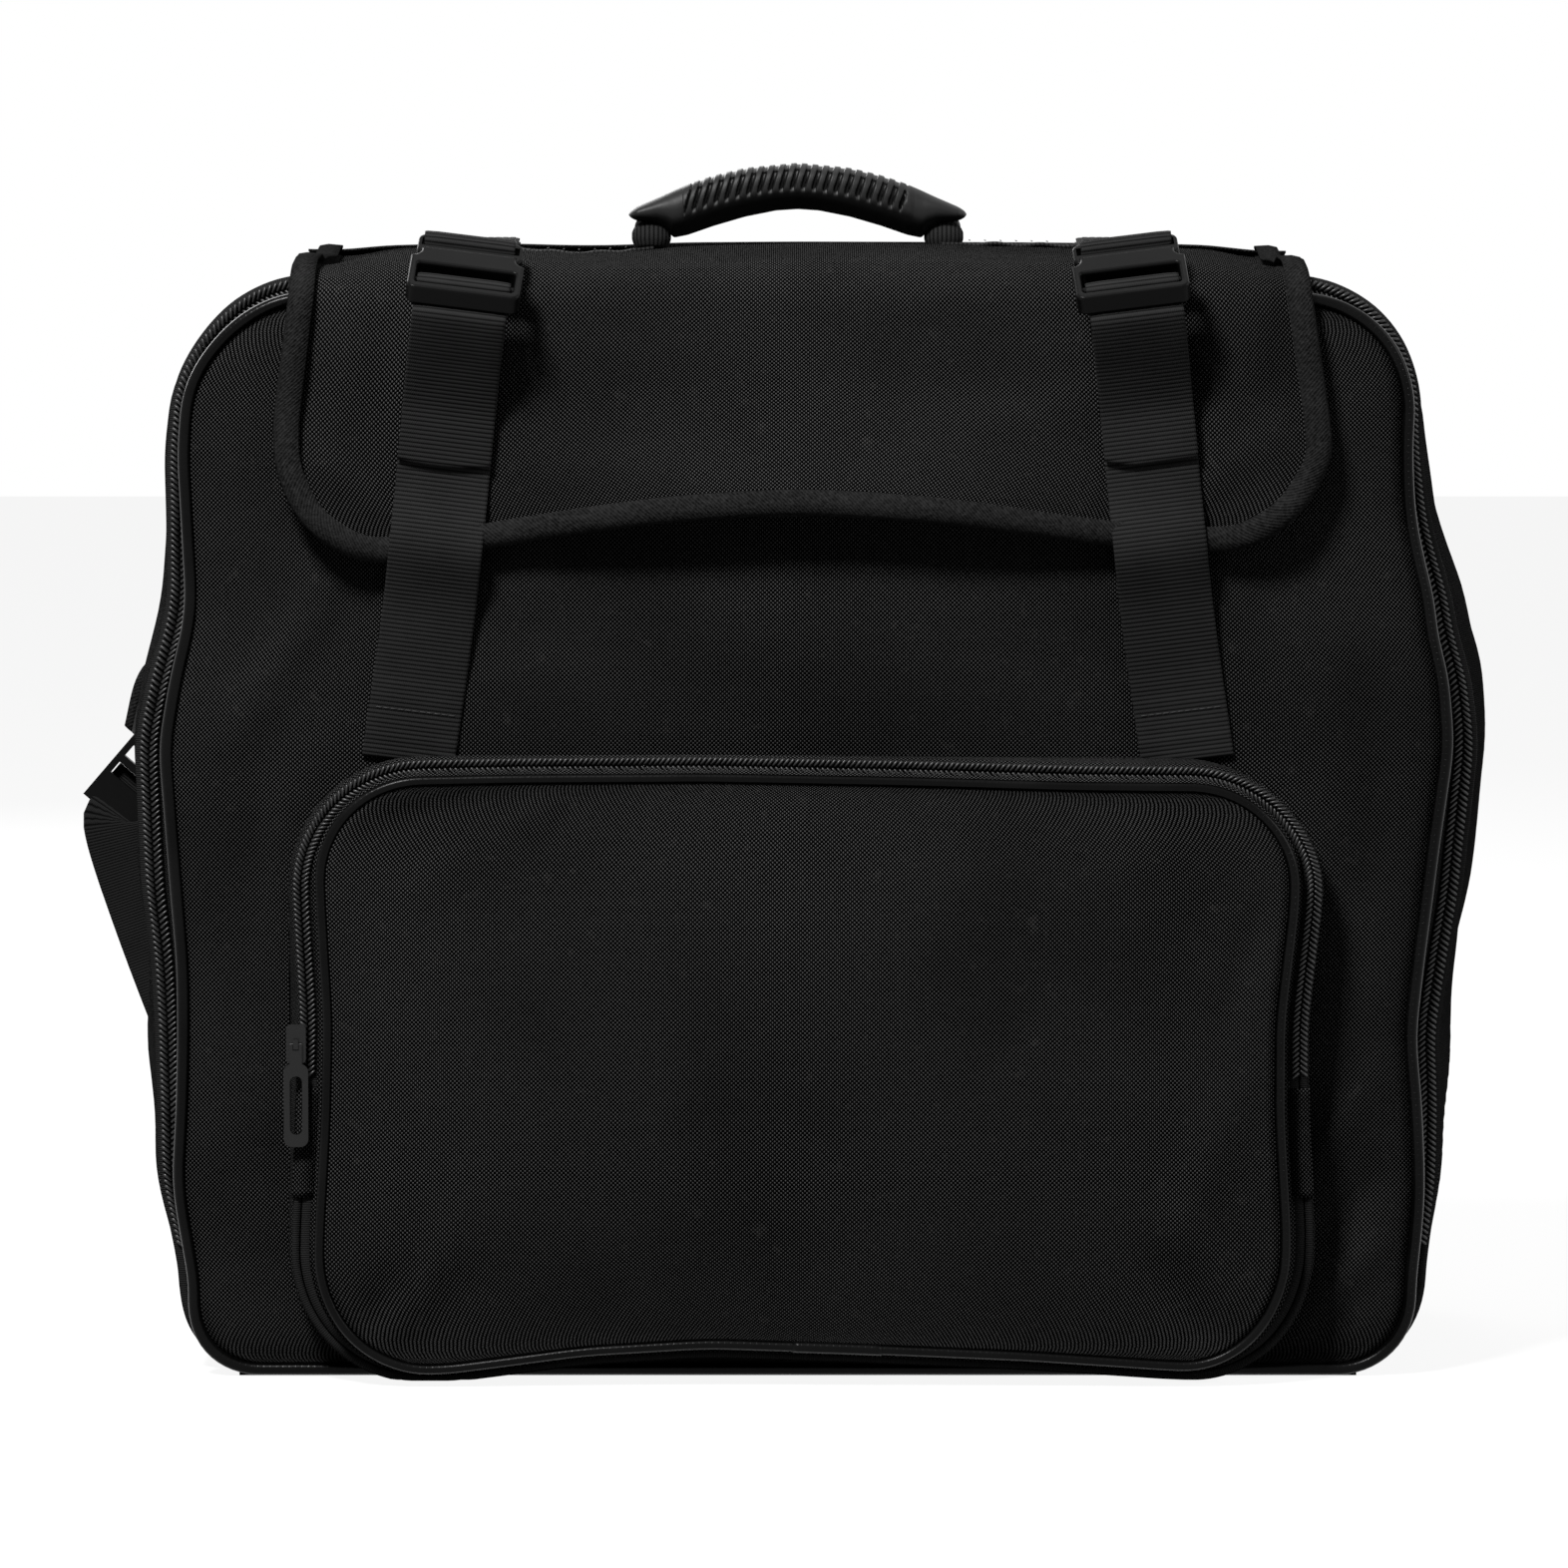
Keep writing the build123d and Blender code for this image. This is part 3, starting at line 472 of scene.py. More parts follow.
def basket_cloth(name, pitch=0.85 * mm, tone=0.0165):
    """Coarse plain weave: a painted glint on the weft threads' crowns in every other cell, row by
    row, and painted shade, near black, in the gaps between them.
    """
    # Specular is off, and the tone is set higher so that the base colour carries the cloth's sheen
    # as painted reflection.
    paint = Paint(name, Specular_IOR_Level=0.0)
    u, v = paint.thread()
    across, along = u / pitch, v / pitch
    parity = ((across.floor() + along.floor()) / 2.0).fraction() * 2.0
    fu, fv = across.fraction(), along.fraction()
    hill_u, hill_v = (fu * np.pi).sine(), (fv * np.pi).sine()
    over = hill_v * (hill_u * 0.6 + 0.4) * (1 - parity)
    under = hill_u * (hill_v * 0.6 + 0.4) * parity
    thread = over + under * 0.7
    wide, fine = paint.grain((9.0, 4.0), (160.0, 2.0))
    # Broad patches of painted sheen, from a wide noise, brighten the threads' painted glint.
    sheen_patches = wide.between(0.30, 0.75)
    # Thread crowns get the painted glint, and the gaps between threads get the near-black painted
    # shade.
    bright = (over + under * 0.25).between(0.18, 0.80) * (sheen_patches * 0.5 + 0.76)
    colour = paint.mix(bright, grey(tone * 0.02), grey(tone * 4.2))
    colour = paint.mix(fine.between(0.62, 0.8) * 0.10, colour, grey(tone * 4.0, 0.04))
    roughness = 0.60 - thread * 0.16 + fine * 0.10
    return paint.finish(colour, roughness, thread * 0.8 + fine * 0.2, 0.30 * mm, 0.9)


def plush(name, tone=0.02):
    """Short napped pile: soft mottling from noise at two sizes, nearly matt."""
    paint = Paint(name, Sheen_Weight=0.15, Sheen_Roughness=0.6, Specular_IOR_Level=0.05)
    fine, wide = paint.grain((900.0, 2.0), (14.0, 4.0))
    colour = paint.mix(wide.between(0.3, 0.7), grey(tone * 0.7), grey(tone * 1.5))
    return paint.finish(colour, 0.9 - fine * 0.1, fine, 0.5 * mm, 0.6)


def add_creases(relief, x, z, rows):
    """Add soft ridges, each a bell across its line and a flat-topped bell along it.

    A row holds the middle's x and z, length and width in metres, angle and depth in mm.
    """
    for at_x, at_z, length, width, angle, depth in rows:
        turn = np.radians(angle)
        dx, dz = x - at_x, z - at_z
        along = dx * np.cos(turn) + dz * np.sin(turn)
        over = dz * np.cos(turn) - dx * np.sin(turn)
        relief += depth * mm * np.exp(-(over / width) ** 2) * np.exp(-(along / length) ** 4)


def ripple(x, z, scale, seed, depth):
    """Gentle unevenness: a few crossed sine waves with seeded directions and phases."""
    source = np.random.default_rng(seed)
    total = np.zeros_like(x)
    for _ in range(7):
        angle, phase = source.uniform(0, np.pi), source.uniform(0, 2 * np.pi)
        length = scale * source.uniform(0.6, 1.6)
        total += np.sin((x * np.cos(angle) + z * np.sin(angle)) * 2 * np.pi / length + phase)
    return depth * total / 7


def settle(points, sewn, spare, pressure, stiffness, most, frames=18):
    """Let a sheet that is cut a little too large find its own folds, sewn down at its seams.

    The grid of points is simulated as cloth. sewn holds 1 where it can't move, spare the
    share by which the cloth is cut too large there, and no point moves further than most.
    """
    rows, columns = points.shape[:2]
    index = np.arange(rows * columns).reshape(rows, columns)
    quads = np.stack([index[:-1, :-1], index[:-1, 1:], index[1:, 1:], index[1:, :-1]], -1)
    mesh = bpy.data.meshes.new("sheet")
    mesh.from_pydata(points.reshape(-1, 3).tolist(), [], quads.reshape(-1, 4).tolist())
    sheet = bpy.data.objects.new("sheet", mesh)
    bpy.context.scene.collection.objects.link(sheet)
    for name, weight in (("sewn", sewn), ("spare", spare / max(spare.max(), 1e-6))):
        group = sheet.vertex_groups.new(name=name)
        level = np.round(weight.ravel() * 10).astype(int)
        for value in range(1, 11):
            group.add(np.flatnonzero(level == value).tolist(), value / 10, "REPLACE")
    cloth_sim = sheet.modifiers.new("cloth", "CLOTH")
    settings = cloth_sim.settings
    settings.quality = 6
    settings.mass = 0.25
    settings.air_damping = 4.0
    settings.tension_stiffness = settings.compression_stiffness = 25.0
    settings.shear_stiffness = 12.0
    settings.bending_stiffness = stiffness
    settings.vertex_group_mass = "sewn"
    settings.vertex_group_shrink = "spare"
    settings.shrink_min = 0.0
    settings.shrink_max = -float(spare.max())
    settings.use_pressure = True
    settings.uniform_pressure_force = pressure
    settings.effector_weights.gravity = 0.0
    cloth_sim.collision_settings.use_collision = False
    cloth_sim.point_cache.frame_start = 1
    cloth_sim.point_cache.frame_end = frames
    scene = bpy.context.scene
    for frame_number in range(1, frames + 1):
        scene.frame_set(frame_number)
    settled = sheet.evaluated_get(bpy.context.evaluated_depsgraph_get()).to_mesh()
    moved = np.zeros(len(settled.vertices) * 3)
    settled.vertices.foreach_get("co", moved)
    move = moved.reshape(points.shape) - points
    bpy.data.objects.remove(sheet)
    scene.frame_set(1)
    length = np.linalg.norm(move, axis=-1, keepdims=True)
    return points + move * most / np.maximum(length, 1e-9) * np.tanh(length / most)


def towards_front(points, depth):
    """Move points outwards (towards -Y) by a depth."""
    points = points.copy()
    points[..., 1] -= depth
    return points


cloth = basket_cloth("basket_cloth")
lining = plush("plush_lining")
shell_path, shell_out = rounded_path(shell_high[0] - shell_low[0], 0.0, shell_high[2],
                                     shell_top_radius, shell_foot_radius, 5 * mm)
seam_y = back_y - 2 * mm
outer_depths = np.linspace(seam_y, rim_y, 44)
outer = carried(shell_path, shell_out, np.stack([0 * outer_depths, outer_depths], 1))
edge = np.minimum(outer_depths - rim_y, seam_y - outer_depths)[None, :]
height = outer[..., 2]
tall = step(height, 8 * mm, 40 * mm)
fold = ripple(outer[..., 1] * 1.6, height, 130 * mm, 3, 5.0 * mm) * step(edge, 0, 40 * mm)
add_creases(fold, outer[..., 1], height, [
    (-0.03, 0.30, 0.07, 0.012, 62, -4), (0.02, 0.13, 0.08, 0.014, 118, -4),
    (-0.06, 0.11, 0.05, 0.010, 50, 3)])
outer = outer + shell_out[:, None, :] * (fold * tall)[..., None]
sewn = np.broadcast_to(edge < 6 * mm, height.shape) | (height < 12 * mm)
spare = 0.03 * tall * step(edge, 0, 30 * mm)
outer = settle(outer, sewn.astype(float), spare, -0.4, 2.0, 6 * mm)
outer[..., 2] = np.clip(outer[..., 2], 0.0, shell_high[2] + 2 * mm)
rim = carried(shell_path, shell_out, offsets(rim_y, (-1, -0.4), (-3, -0.6), (-9, -0.4))
              + [(-wall, rim_y + 1 * mm)])
inner = carried(shell_path, shell_out,
                [(-wall, y) for y in np.linspace(rim_y + 4 * mm, seam_y, 20)])
band = np.concatenate([outer, rim, inner], 1)
band_slots = [0] * (outer.shape[1] + 2) + [1] * (inner.shape[1] + 1) + [0]
shell_piece = loft("case_gusset", band, [cloth, lining], closed_rows=True, column_slots=band_slots)
dress(shell_piece, "case_shell", "cloth", "gusset_cover", "gusset_padding", "gusset_lining",
      "base_padding", "base_cover", fill=0.8)


# ------------------------------------------------------------------ back
# The back is one padded sheet sewn to the band all round. It is flatter than the sides,
# because it lies against the wearer, and only its border is drawn in by the seam.
def rounded_grid(width, bottom, top, top_radius, foot_radius, spacing=6 * mm):
    """Level rows cut to a rounded rectangle's width, as arrays of x and z.

    Rows follow the corner arcs at equal angles and are evenly spaced between them. Columns
    divide each row evenly, so the grid's own border is the outline.
    """
    turns = np.linspace(0, np.pi / 2, 10)
    low = bottom + foot_radius * (1 - np.cos(turns))
    high = top - top_radius * (1 - np.cos(turns[::-1]))
    count = int((high[0] - low[-1]) / spacing)
    z = np.concatenate([low, np.linspace(low[-1], high[0], count + 1)[1:-1], high])
    foot_reach = np.clip(foot_radius - (z - bottom), 0, None)
    top_reach = np.clip(top_radius - (top - z), 0, None)
    half = (width / 2 - foot_radius + np.sqrt(foot_radius ** 2 - foot_reach ** 2)
            - top_radius + np.sqrt(top_radius ** 2 - top_reach ** 2))
    across = np.linspace(-1, 1, int(width / spacing) | 1)
    return half[:, None] * across[None, :], np.broadcast_to(z[:, None], (len(z), len(across)))


def border_distance(x, z, width, bottom, top, top_radius, foot_radius):
    """Distance inside a rounded rectangle's outline, rounded at its corners."""
    radius = np.where(z > (bottom + top) / 2, top_radius, foot_radius)
    dx = np.abs(x) - (width / 2 - radius)
    dz = np.abs(z - (bottom + top) / 2) - ((top - bottom) / 2 - radius)
    outside = np.hypot(np.maximum(dx, 0), np.maximum(dz, 0))
    return radius - outside - np.minimum(np.maximum(dx, dz), 0)


def in_depth(x, z, y):
    """Points with the given x and z at depth y."""
    return np.stack([x, np.broadcast_to(y, x.shape), z], -1)


def rounded_sheet(outline, spacing):
    """Grid over a rounded rectangle, and each point's distance inside its outline."""
    x, z = rounded_grid(*outline, spacing)
    return x, z, border_distance(x, z, *outline)


def pad(name, front, back, *materials):
    """Closed skin of two sheets on one grid. A second material goes on the back sheet."""
    back_slot = len(materials) - 1
    slots = [0] * front.shape[1] + [back_slot] * (back.shape[1] - 1) + [0]
    ring = np.concatenate([front, back[:, ::-1]], 1)
    return loft(name, ring, list(materials), column_slots=slots)


back_outline = (shell_high[0] - shell_low[0], 0.0, shell_high[2],
                shell_top_radius, shell_foot_radius)
x, z, inside = rounded_sheet(back_outline, 7 * mm)
pillow = 3 * mm * step(inside, 0, 26 * mm) - 2.2 * mm * (1 - step(inside, 0, 9 * mm))
pillow = pillow + ripple(x, z, 160 * mm, 11, 2.2 * mm) * step(inside, 5 * mm, 40 * mm)
outside_sheet = towards_front(slump(in_depth(x, z, back_y - 1 * mm)), -pillow)
outside_sheet[..., 1] = np.minimum(outside_sheet[..., 1], back_y + 1.2 * mm)
inside_sheet = slump(in_depth(x, z, back_y - wall))
inside_sheet = towards_front(inside_sheet, 1.5 * mm * step(inside, 10 * mm, 40 * mm))
back_piece = pad("case_back", inside_sheet, outside_sheet, lining, cloth)
dress(back_piece, "case_shell", "cloth", "back_cover", "back_padding", "back_lining", fill=0.8)


# ------------------------------------------------------------------ front panel
# The panel is a padded sheet of the same cloth, bound to its gusset by the piping. Its cloth
# is cut full, so it bulges and folds between the piping, the straps and the pocket.
panel_outline = (panel_high[0] - panel_low[0], panel_low[2], panel_high[2],
                 panel_top_radius, panel_foot_radius)
pocket_low, pocket_high = (np.array(c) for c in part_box("pocket_gusset"))
strap_x = 156 * mm
strap_width = 38 * mm
x, z, inside = rounded_sheet(panel_outline, 5.2 * mm)
rear_top_radius, rear_foot_radius = 58 * mm, 53 * mm
behind_pocket = border_distance(x, z, pocket_high[0] - pocket_low[0], pocket_low[2],
                                pocket_high[2], rear_top_radius, rear_foot_radius)
open_cloth = step(inside, 4 * mm, 40 * mm) * step(-behind_pocket, 2 * mm, 30 * mm)
relief = ripple(x, z, 190 * mm, 5, 3.0 * mm) * open_cloth
add_creases(relief, x, z, [
    (-0.215, 0.300, 0.045, 0.010, 66, 3.0), (-0.228, 0.215, 0.050, 0.011, 82, -2.5),
    (0.232, 0.240, 0.055, 0.012, 96, -3.0), (0.214, 0.262, 0.060, 0.013, 104, 3.0),
    (0.212, 0.085, 0.045, 0.007, 52, 3.0), (0.222, 0.060, 0.042, 0.007, 48, -2.6),
    (0.232, 0.040, 0.036, 0.006, 44, 2.4), (-0.222, 0.060, 0.050, 0.010, 118, 2.0),
    (0.0, 0.285, 0.170, 0.020, 0, 1.6)])
relief *= step(inside, 0, 16 * mm) * step(-behind_pocket, -4 * mm, 8 * mm)
front_sheet = towards_front(slump(in_depth(x, z, front_y + 2.4 * mm)),
                            relief + 2.4 * mm * step(inside, 0, 10 * mm))
under_flap = step(z, 0.335, 0.350)
foot_of_strap = (np.abs(np.abs(x) - strap_x) < strap_width / 2) & (np.abs(z - 0.268) < 12 * mm)
sewn = ((inside < 5 * mm) | (behind_pocket > 1 * mm) | foot_of_strap).astype(float)
spare = (0.022 + 0.02 * step(np.abs(x), 0.19, 0.23)) * open_cloth * (1 - 0.85 * under_flap)
front_sheet = settle(front_sheet, sewn, spare, 0.9, 1.2, 4.5 * mm)
back_sheet = slump(in_depth(x, z, front_y + wall))
panel_piece = pad("panel_pad", front_sheet, back_sheet, cloth, lining)
dress(panel_piece, "front_panel", "cloth", "panel_cover", "panel_padding", "panel_lining", fill=0.8)

panel_path, panel_out = rounded_path(*panel_outline, spacing=3 * mm)
gusset_section = (offsets(front_y, (0.6, 3.4), (1.2, 9), (1.8, 16))
                  + offsets(zip_y, (0.8, -0.4), (-1.0, 0))
                  + offsets(front_y, (-1.4, 16), (-1.4, 9), (-1.2, 3.4)))
gusset_piece = loft("panel_side_strip", carried(panel_path, panel_out, gusset_section), cloth,
                    closed_rows=True)
dress(gusset_piece, "front_panel", "cloth", "panel_gusset", fill=0.9)

# A folded strip of the panel's cloth joins its foot to the base between the lower corners.
hinge_half = panel_high[0] - panel_foot_radius
hinge_x = np.linspace(-hinge_half, hinge_half, 60)
hinge_y = np.linspace(rim_y + 3 * mm, front_y + 5 * mm, 12)
foot_x, foot_y = np.meshgrid(hinge_x, hinge_y, indexing="ij")
foot_top = np.stack([foot_x, foot_y, 1.5 * mm + ripple(foot_x, foot_y, 60 * mm, 8, 0.3 * mm)], -1)
foot_low = np.stack([foot_x, foot_y, 0 * foot_x], -1)
foot_piece = pad("panel_foot_strip", foot_top, foot_low, cloth)
dress(foot_piece, "case_shell", "cloth")


# ------------------------------------------------------------------ piping
# Both pipings are a cord wrapped in glossy black vinyl, 5 and 4 mm across. They catch the
# light in a thin line, and show a row of faint needle dents where they are sewn in.
def vinyl(name):
    """Glossy vinyl with a fine grain, soft unevenness and dents left by the needle."""
    paint = Paint(name, IOR=1.50, Specular_IOR_Level=0.07)
    wide, fine = paint.grain((30.0, 3.0), (700.0, 2.0))
    dents = (paint.thread()[0] / (2.6 * mm)).fraction().between(0.30, 0.5)
    colour = paint.mix(wide.between(0.35, 0.7), grey(0.001), grey(0.003))
    rough = 0.20 + wide * 0.12
    return paint.finish(colour, rough, dents * 0.25 + fine * 0.3 + wide * 0.5, 0.18 * mm, 0.7)


piping_vinyl = vinyl("piping_vinyl")


def cord_section(radius, front, sleeve=0.0):
    """Section of a cord that touches the outline and a front depth, or of a sleeve round it."""
    turn = np.arange(12) * 2 * np.pi / 12
    outer = radius + sleeve
    return np.stack([radius + outer * np.cos(turn), front + radius + outer * np.sin(turn)], 1)


piping = carried(panel_path, panel_out, cord_section(2.5 * mm, front_y))
piping_piece = loft("panel_piping_cord", piping, piping_vinyl, closed_rows=True)
dress(piping_piece, "front_panel", "piping", "panel_piping", fill=1.0)


# ------------------------------------------------------------------ main zip
# A coarse nylon coil on woven tape. Each side is a row of slanting bars that lock between
# those of the other side. Below the zip's ends plain cloth closes the corner.
def tape_cloth(name, pitch=0.9 * mm, tone=0.015):
    """Fine ribbed tape: narrow ribs across its length with a soft mottling."""
    paint = Paint(name, Sheen_Roughness=0.5, Specular_IOR_Level=0.01)
    ribs = (paint.thread()[0] / pitch * (2.0 * np.pi)).sine() * 0.5 + 0.5
    wide = paint.grain((40.0, 3.0))[0]
    colour = paint.mix(ribs * 0.6 + wide * 0.4, grey(tone * 0.4), grey(tone * 1.8))
    return paint.finish(colour, 0.70 - ribs * 0.12, ribs, 0.2 * mm, 0.8)


def coil_nylon(name):
    """Shiny dark nylon with a slight unevenness."""
    paint = Paint(name, IOR=1.53, Specular_IOR_Level=0.35)
    wide, fine = paint.grain((60.0, 3.0), (900.0, 2.0))
    colour = paint.mix(wide.between(0.3, 0.7), grey(0.005), grey(0.013))
    return paint.finish(colour, 0.28 + wide * 0.2, fine, 0.05 * mm, 0.5)


zip_tape = tape_cloth("zip_tape")
zip_coil = coil_nylon("zip_coil")


def bars(name, centres, long_way, wide_way, deep_way, length, width, depth, material):
    """One mesh of small rounded bars: each a ring of six points at five stations, closed by
    narrow ends. The three directions are unit vectors, given once or for each bar."""
    stations = np.array([-1.0, -0.8, 0.0, 0.8, 1.0])
    girth = np.array([0.35, 0.85, 1.0, 0.85, 0.35])
    around = 6
    turn = np.arange(around) * np.pi / 3
    ring = np.stack([np.cos(turn), np.sin(turn)], 1)
    local = np.stack([np.broadcast_to(stations[:, None] * length / 2, (len(stations), around)),
                      girth[:, None] * ring[None, :, 0] * width / 2,
                      girth[:, None] * ring[None, :, 1] * depth / 2], -1).reshape(-1, 3)
    ways = np.stack([np.broadcast_to(way, centres.shape)
                     for way in (long_way, wide_way, deep_way)], 1)
    points = centres[:, None, :] + np.einsum("pk,nkx->npx", local, ways)
    first, t = np.arange(len(stations) - 1)[:, None] * around, np.arange(around)[None, :]
    after, second = (t + 1) % around, first + around
    side = np.stack([first + t, first + after, second + after, second + t], -1).reshape(-1, 4)
    far = (len(stations) - 1) * around
    ends = np.array([[0, 1, 2, 3], [0, 3, 4, 5]])
    ends = np.concatenate([side, ends, far + ends[:, [0, 3, 2, 1]]])
    faces = (np.arange(len(centres))[:, None, None] * len(local) + ends[None]).reshape(-1, 4)
    return face_outwards(new_piece(name, points, faces, material))


def unit(vectors):
    """Vectors scaled to length one."""
    return vectors / np.linalg.norm(vectors, axis=-1, keepdims=True)


def along_path(path, outward, pitch, low, high):
    """Even stations on a closed path between two heights: points, forward and outward."""
    ends, outs = (np.concatenate([line, line[:1]]) for line in (path, outward))
    run = lengths(ends)
    at = np.arange(0, run[-1], run[-1] / round(run[-1] / pitch))
    points, out = sampled(ends, run, at), unit(sampled(outs, run, at))
    forward = np.stack([-out[:, 2], 0 * at, out[:, 0]], 1)
    kept = (points[:, 2] > low) & (points[:, 2] < high)
    return points[kept], forward[kept], out[kept]


def coil(name, body, route, place, side, y, outset, pitch, apart, size, low, high=np.inf):
    """One side of a zip's coil: slanting bars along a path, between two heights.

    Each bar leans forward as it nears the middle of the zip, half a pitch after its partner.
    """
    points, forward, out = along_path(*route, pitch, low, high)
    centres = points + out * (outset + side * apart) + forward * (side * pitch / 4)
    centres[:, 1] += y
    lean = np.radians(38)
    long_way = side * out * np.cos(lean) - forward * np.sin(lean)
    wide_way = forward * np.cos(lean) + side * out * np.sin(lean)
    row = bars(name, place(centres), long_way, wide_way, np.array([0.0, 1.0, 0.0]), *size, zip_coil)
    dress(row, body, "zip_coil")


zip_foot = 53 * mm
middle_path, middle_out = rounded_path(shell_high[0] - shell_low[0] - panel_inset,
                                       panel_inset / 2, shell_high[2] - panel_inset / 2,
                                       shell_top_radius - panel_inset / 2,
                                       shell_foot_radius - panel_inset / 2, 3 * mm)
tape_back = zip_y + tape_thickness
rear_tape = carried(middle_path, middle_out,
                    offsets(zip_y, (0.3, 0), (3, -0.3), (5.2, 0.6))
                    + offsets(tape_back, (5.0, 1.2), (3, 0), (0.3, 0)))
rear_tape_piece = loft("main_zip_tape_rear", rear_tape, zip_tape, closed_rows=True)
dress(rear_tape_piece, "case_shell", "zip_coil", "main_zip_rear")
front_tape = carried(middle_path, middle_out,
                     offsets(zip_y, (-0.3, 0), (-3, -0.3), (-5.6, -0.5), (-5.6, 0.4))
                     + offsets(tape_back, (-3, 0), (-0.3, 0)))
front_tape_piece = loft("main_zip_tape_front", front_tape, zip_tape, closed_rows=True)
dress(front_tape_piece, "front_panel", "zip_coil", "main_zip_front", "gusset_foot_web")
for side, name, body in ((1, "rear", "case_shell"), (-1, "front", "front_panel")):
    coil(f"main_zip_coil_{name}", body, (middle_path, middle_out), slump, side, zip_y - 1.1 * mm,
         0, 2.3 * mm, 1.9 * mm, (4.6 * mm, 1.5 * mm, 2.0 * mm), zip_foot)


# ------------------------------------------------------------------ front pocket
# A stuffed pocket of the same cloth: a bulging front, a soft band with piping on its edge,
# a zip round three sides and a second band behind it.
front_low, front_high = (np.array(c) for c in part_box("pocket_front_lower"))
pocket_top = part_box("pocket_front_upper")[1][2]
pocket_front_y = front_low[1]
pocket_width = front_high[0] - front_low[0]
pocket_radius = 39 * mm
pocket_outline = (pocket_width, front_low[2], pocket_top, pocket_radius, pocket_radius)
rear_pull = 4.5 * mm        # how far the zip draws the rear outline in from the pattern
rear_outline = (pocket_high[0] - pocket_low[0] - 2 * rear_pull, pocket_low[2] + rear_pull,
                pocket_high[2] - rear_pull, rear_top_radius - rear_pull,
                rear_foot_radius - rear_pull)
pocket_zip_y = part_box("pocket_zip_rear")[1][1] - tape_thickness
sag_across = np.array([-200, -150, -90, -40, 20, 90, 150, 200]) * mm
foot_sag = np.array([-3, -7, 1, 4, 2, -1, -5, -6]) * mm
top_across = np.array([-190, -120, -40, 40, 110, 160, 190]) * mm
top_sag = np.array([0, 1.5, 2.0, 0.5, -1.5, -2.0, -2]) * mm
pocket_heights = np.array([16, 60, 110, 150, 200, 245]) * mm
left_pinch = np.array([2, 2, -1, -2, 1, 2]) * mm
pocket_shift = 3 * mm       # how far the whole front hangs to the right
pocket_droop = 3.5 * mm     # how far its top falls back
right_pinch = np.array([-3, 0, -3, -3, 3, 2]) * mm


def pocket_slump(points):
    """Where a point of the pocket's pattern hangs on the panel.

    The foot sags between its lower corners, the top edge dips to the right, and both sides
    lean a little. The shift fades out at the panel, where the pocket is sewn flat.
    """
    points = np.array(points, float)
    x, y, z = points[..., 0], points[..., 1], points[..., 2]
    share = step(front_y - y, 0, 18 * mm)
    foot = smooth_curve(x, sag_across, foot_sag) * step(-z, -70 * mm, -18 * mm)
    top = smooth_curve(x, top_across, top_sag) * step(z, 200 * mm, 240 * mm)
    side = np.where(x < 0, -smooth_curve(z, pocket_heights, left_pinch),
                    smooth_curve(z, pocket_heights, right_pinch))
    points[..., 0] = x + share * side * step(np.abs(x), 120 * mm, 190 * mm) + pocket_shift * share
    points[..., 2] = np.maximum(z + share * (foot + top), 1.2 * mm)
    droop = pocket_droop * step(pocket_top - z, 150 * mm, 20 * mm)
    points[..., 1] = y + droop * share * step(z, 150 * mm, 240 * mm)
    return points


def pocket_carried(path, outward, section):
    """Section of (outset, y) points carried round a path and hung as the pocket hangs."""
    return carried(path, outward, section, pocket_slump)


def hang(piece, slot, *nodes, fill=None):
    """Hide the solids that a piece of the pocket stands for, and bake its place into its points."""
    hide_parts(*nodes)
    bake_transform(piece)


x, z, inside = rounded_sheet(pocket_outline, 4.2 * mm)
open_cloth = step(inside, 3 * mm, 34 * mm)
relief = 4.5 * mm * step(inside, 0, 70 * mm) + ripple(x, z, 150 * mm, 21, 3.4 * mm) * open_cloth
add_creases(relief, x, z, [
    (-0.176, 0.030, 0.034, 0.006, 48, -3.2), (-0.164, 0.034, 0.034, 0.006, 52, 2.8),
    (0.158, 0.034, 0.030, 0.006, 128, -2.6), (0.170, 0.044, 0.032, 0.006, 122, 2.2),
    (-0.150, 0.238, 0.030, 0.007, 20, -2.0), (-0.120, 0.228, 0.050, 0.010, 34, 2.0),
    (0.176, 0.170, 0.030, 0.008, 78, -2.0), (0.165, 0.092, 0.040, 0.010, 66, 2.2),
    (-0.168, 0.120, 0.050, 0.010, 98, 2.0)])
relief *= step(inside, 0, 12 * mm)
pocket_sheet = towards_front(pocket_slump(in_depth(x, z, pocket_front_y + 1.4 * mm)), relief)
sewn = (inside < 4 * mm).astype(float)
pocket_sheet = settle(pocket_sheet, sewn, 0.030 * open_cloth, 0.9, 0.8, 4.5 * mm)
pocket_back = pocket_slump(in_depth(x, z, pocket_front_y + 3.4 * mm))
pocket_back[..., 1] = np.maximum(pocket_back[..., 1], pocket_sheet[..., 1] + 1.4 * mm)
pocket_piece = pad("pocket_pad", pocket_sheet, pocket_back, cloth, lining)
hang(pocket_piece, "cloth", "pocket_front_upper", "pocket_front_lower", fill=0.7)

pocket_path, pocket_out = rounded_path(*pocket_outline, spacing=2.6 * mm)
band_outer = (offsets(pocket_front_y + 2.2 * mm, (0.4, 0), (1.6, 3))
              + offsets(pocket_zip_y - 0.2 * mm, (2.4, -5), (4.6, -1.2), (6.6, 0)))
band_inner = [(o - 1.2 * mm, y + 0.8 * mm) for o, y in band_outer[::-1]]
band_piece = loft("pocket_soft_band",
                  pocket_carried(pocket_path, pocket_out, band_outer + band_inner), cloth,
                  closed_rows=True)
hang(band_piece, "cloth", "pocket_band_upper", "pocket_band_lower", fill=0.5)

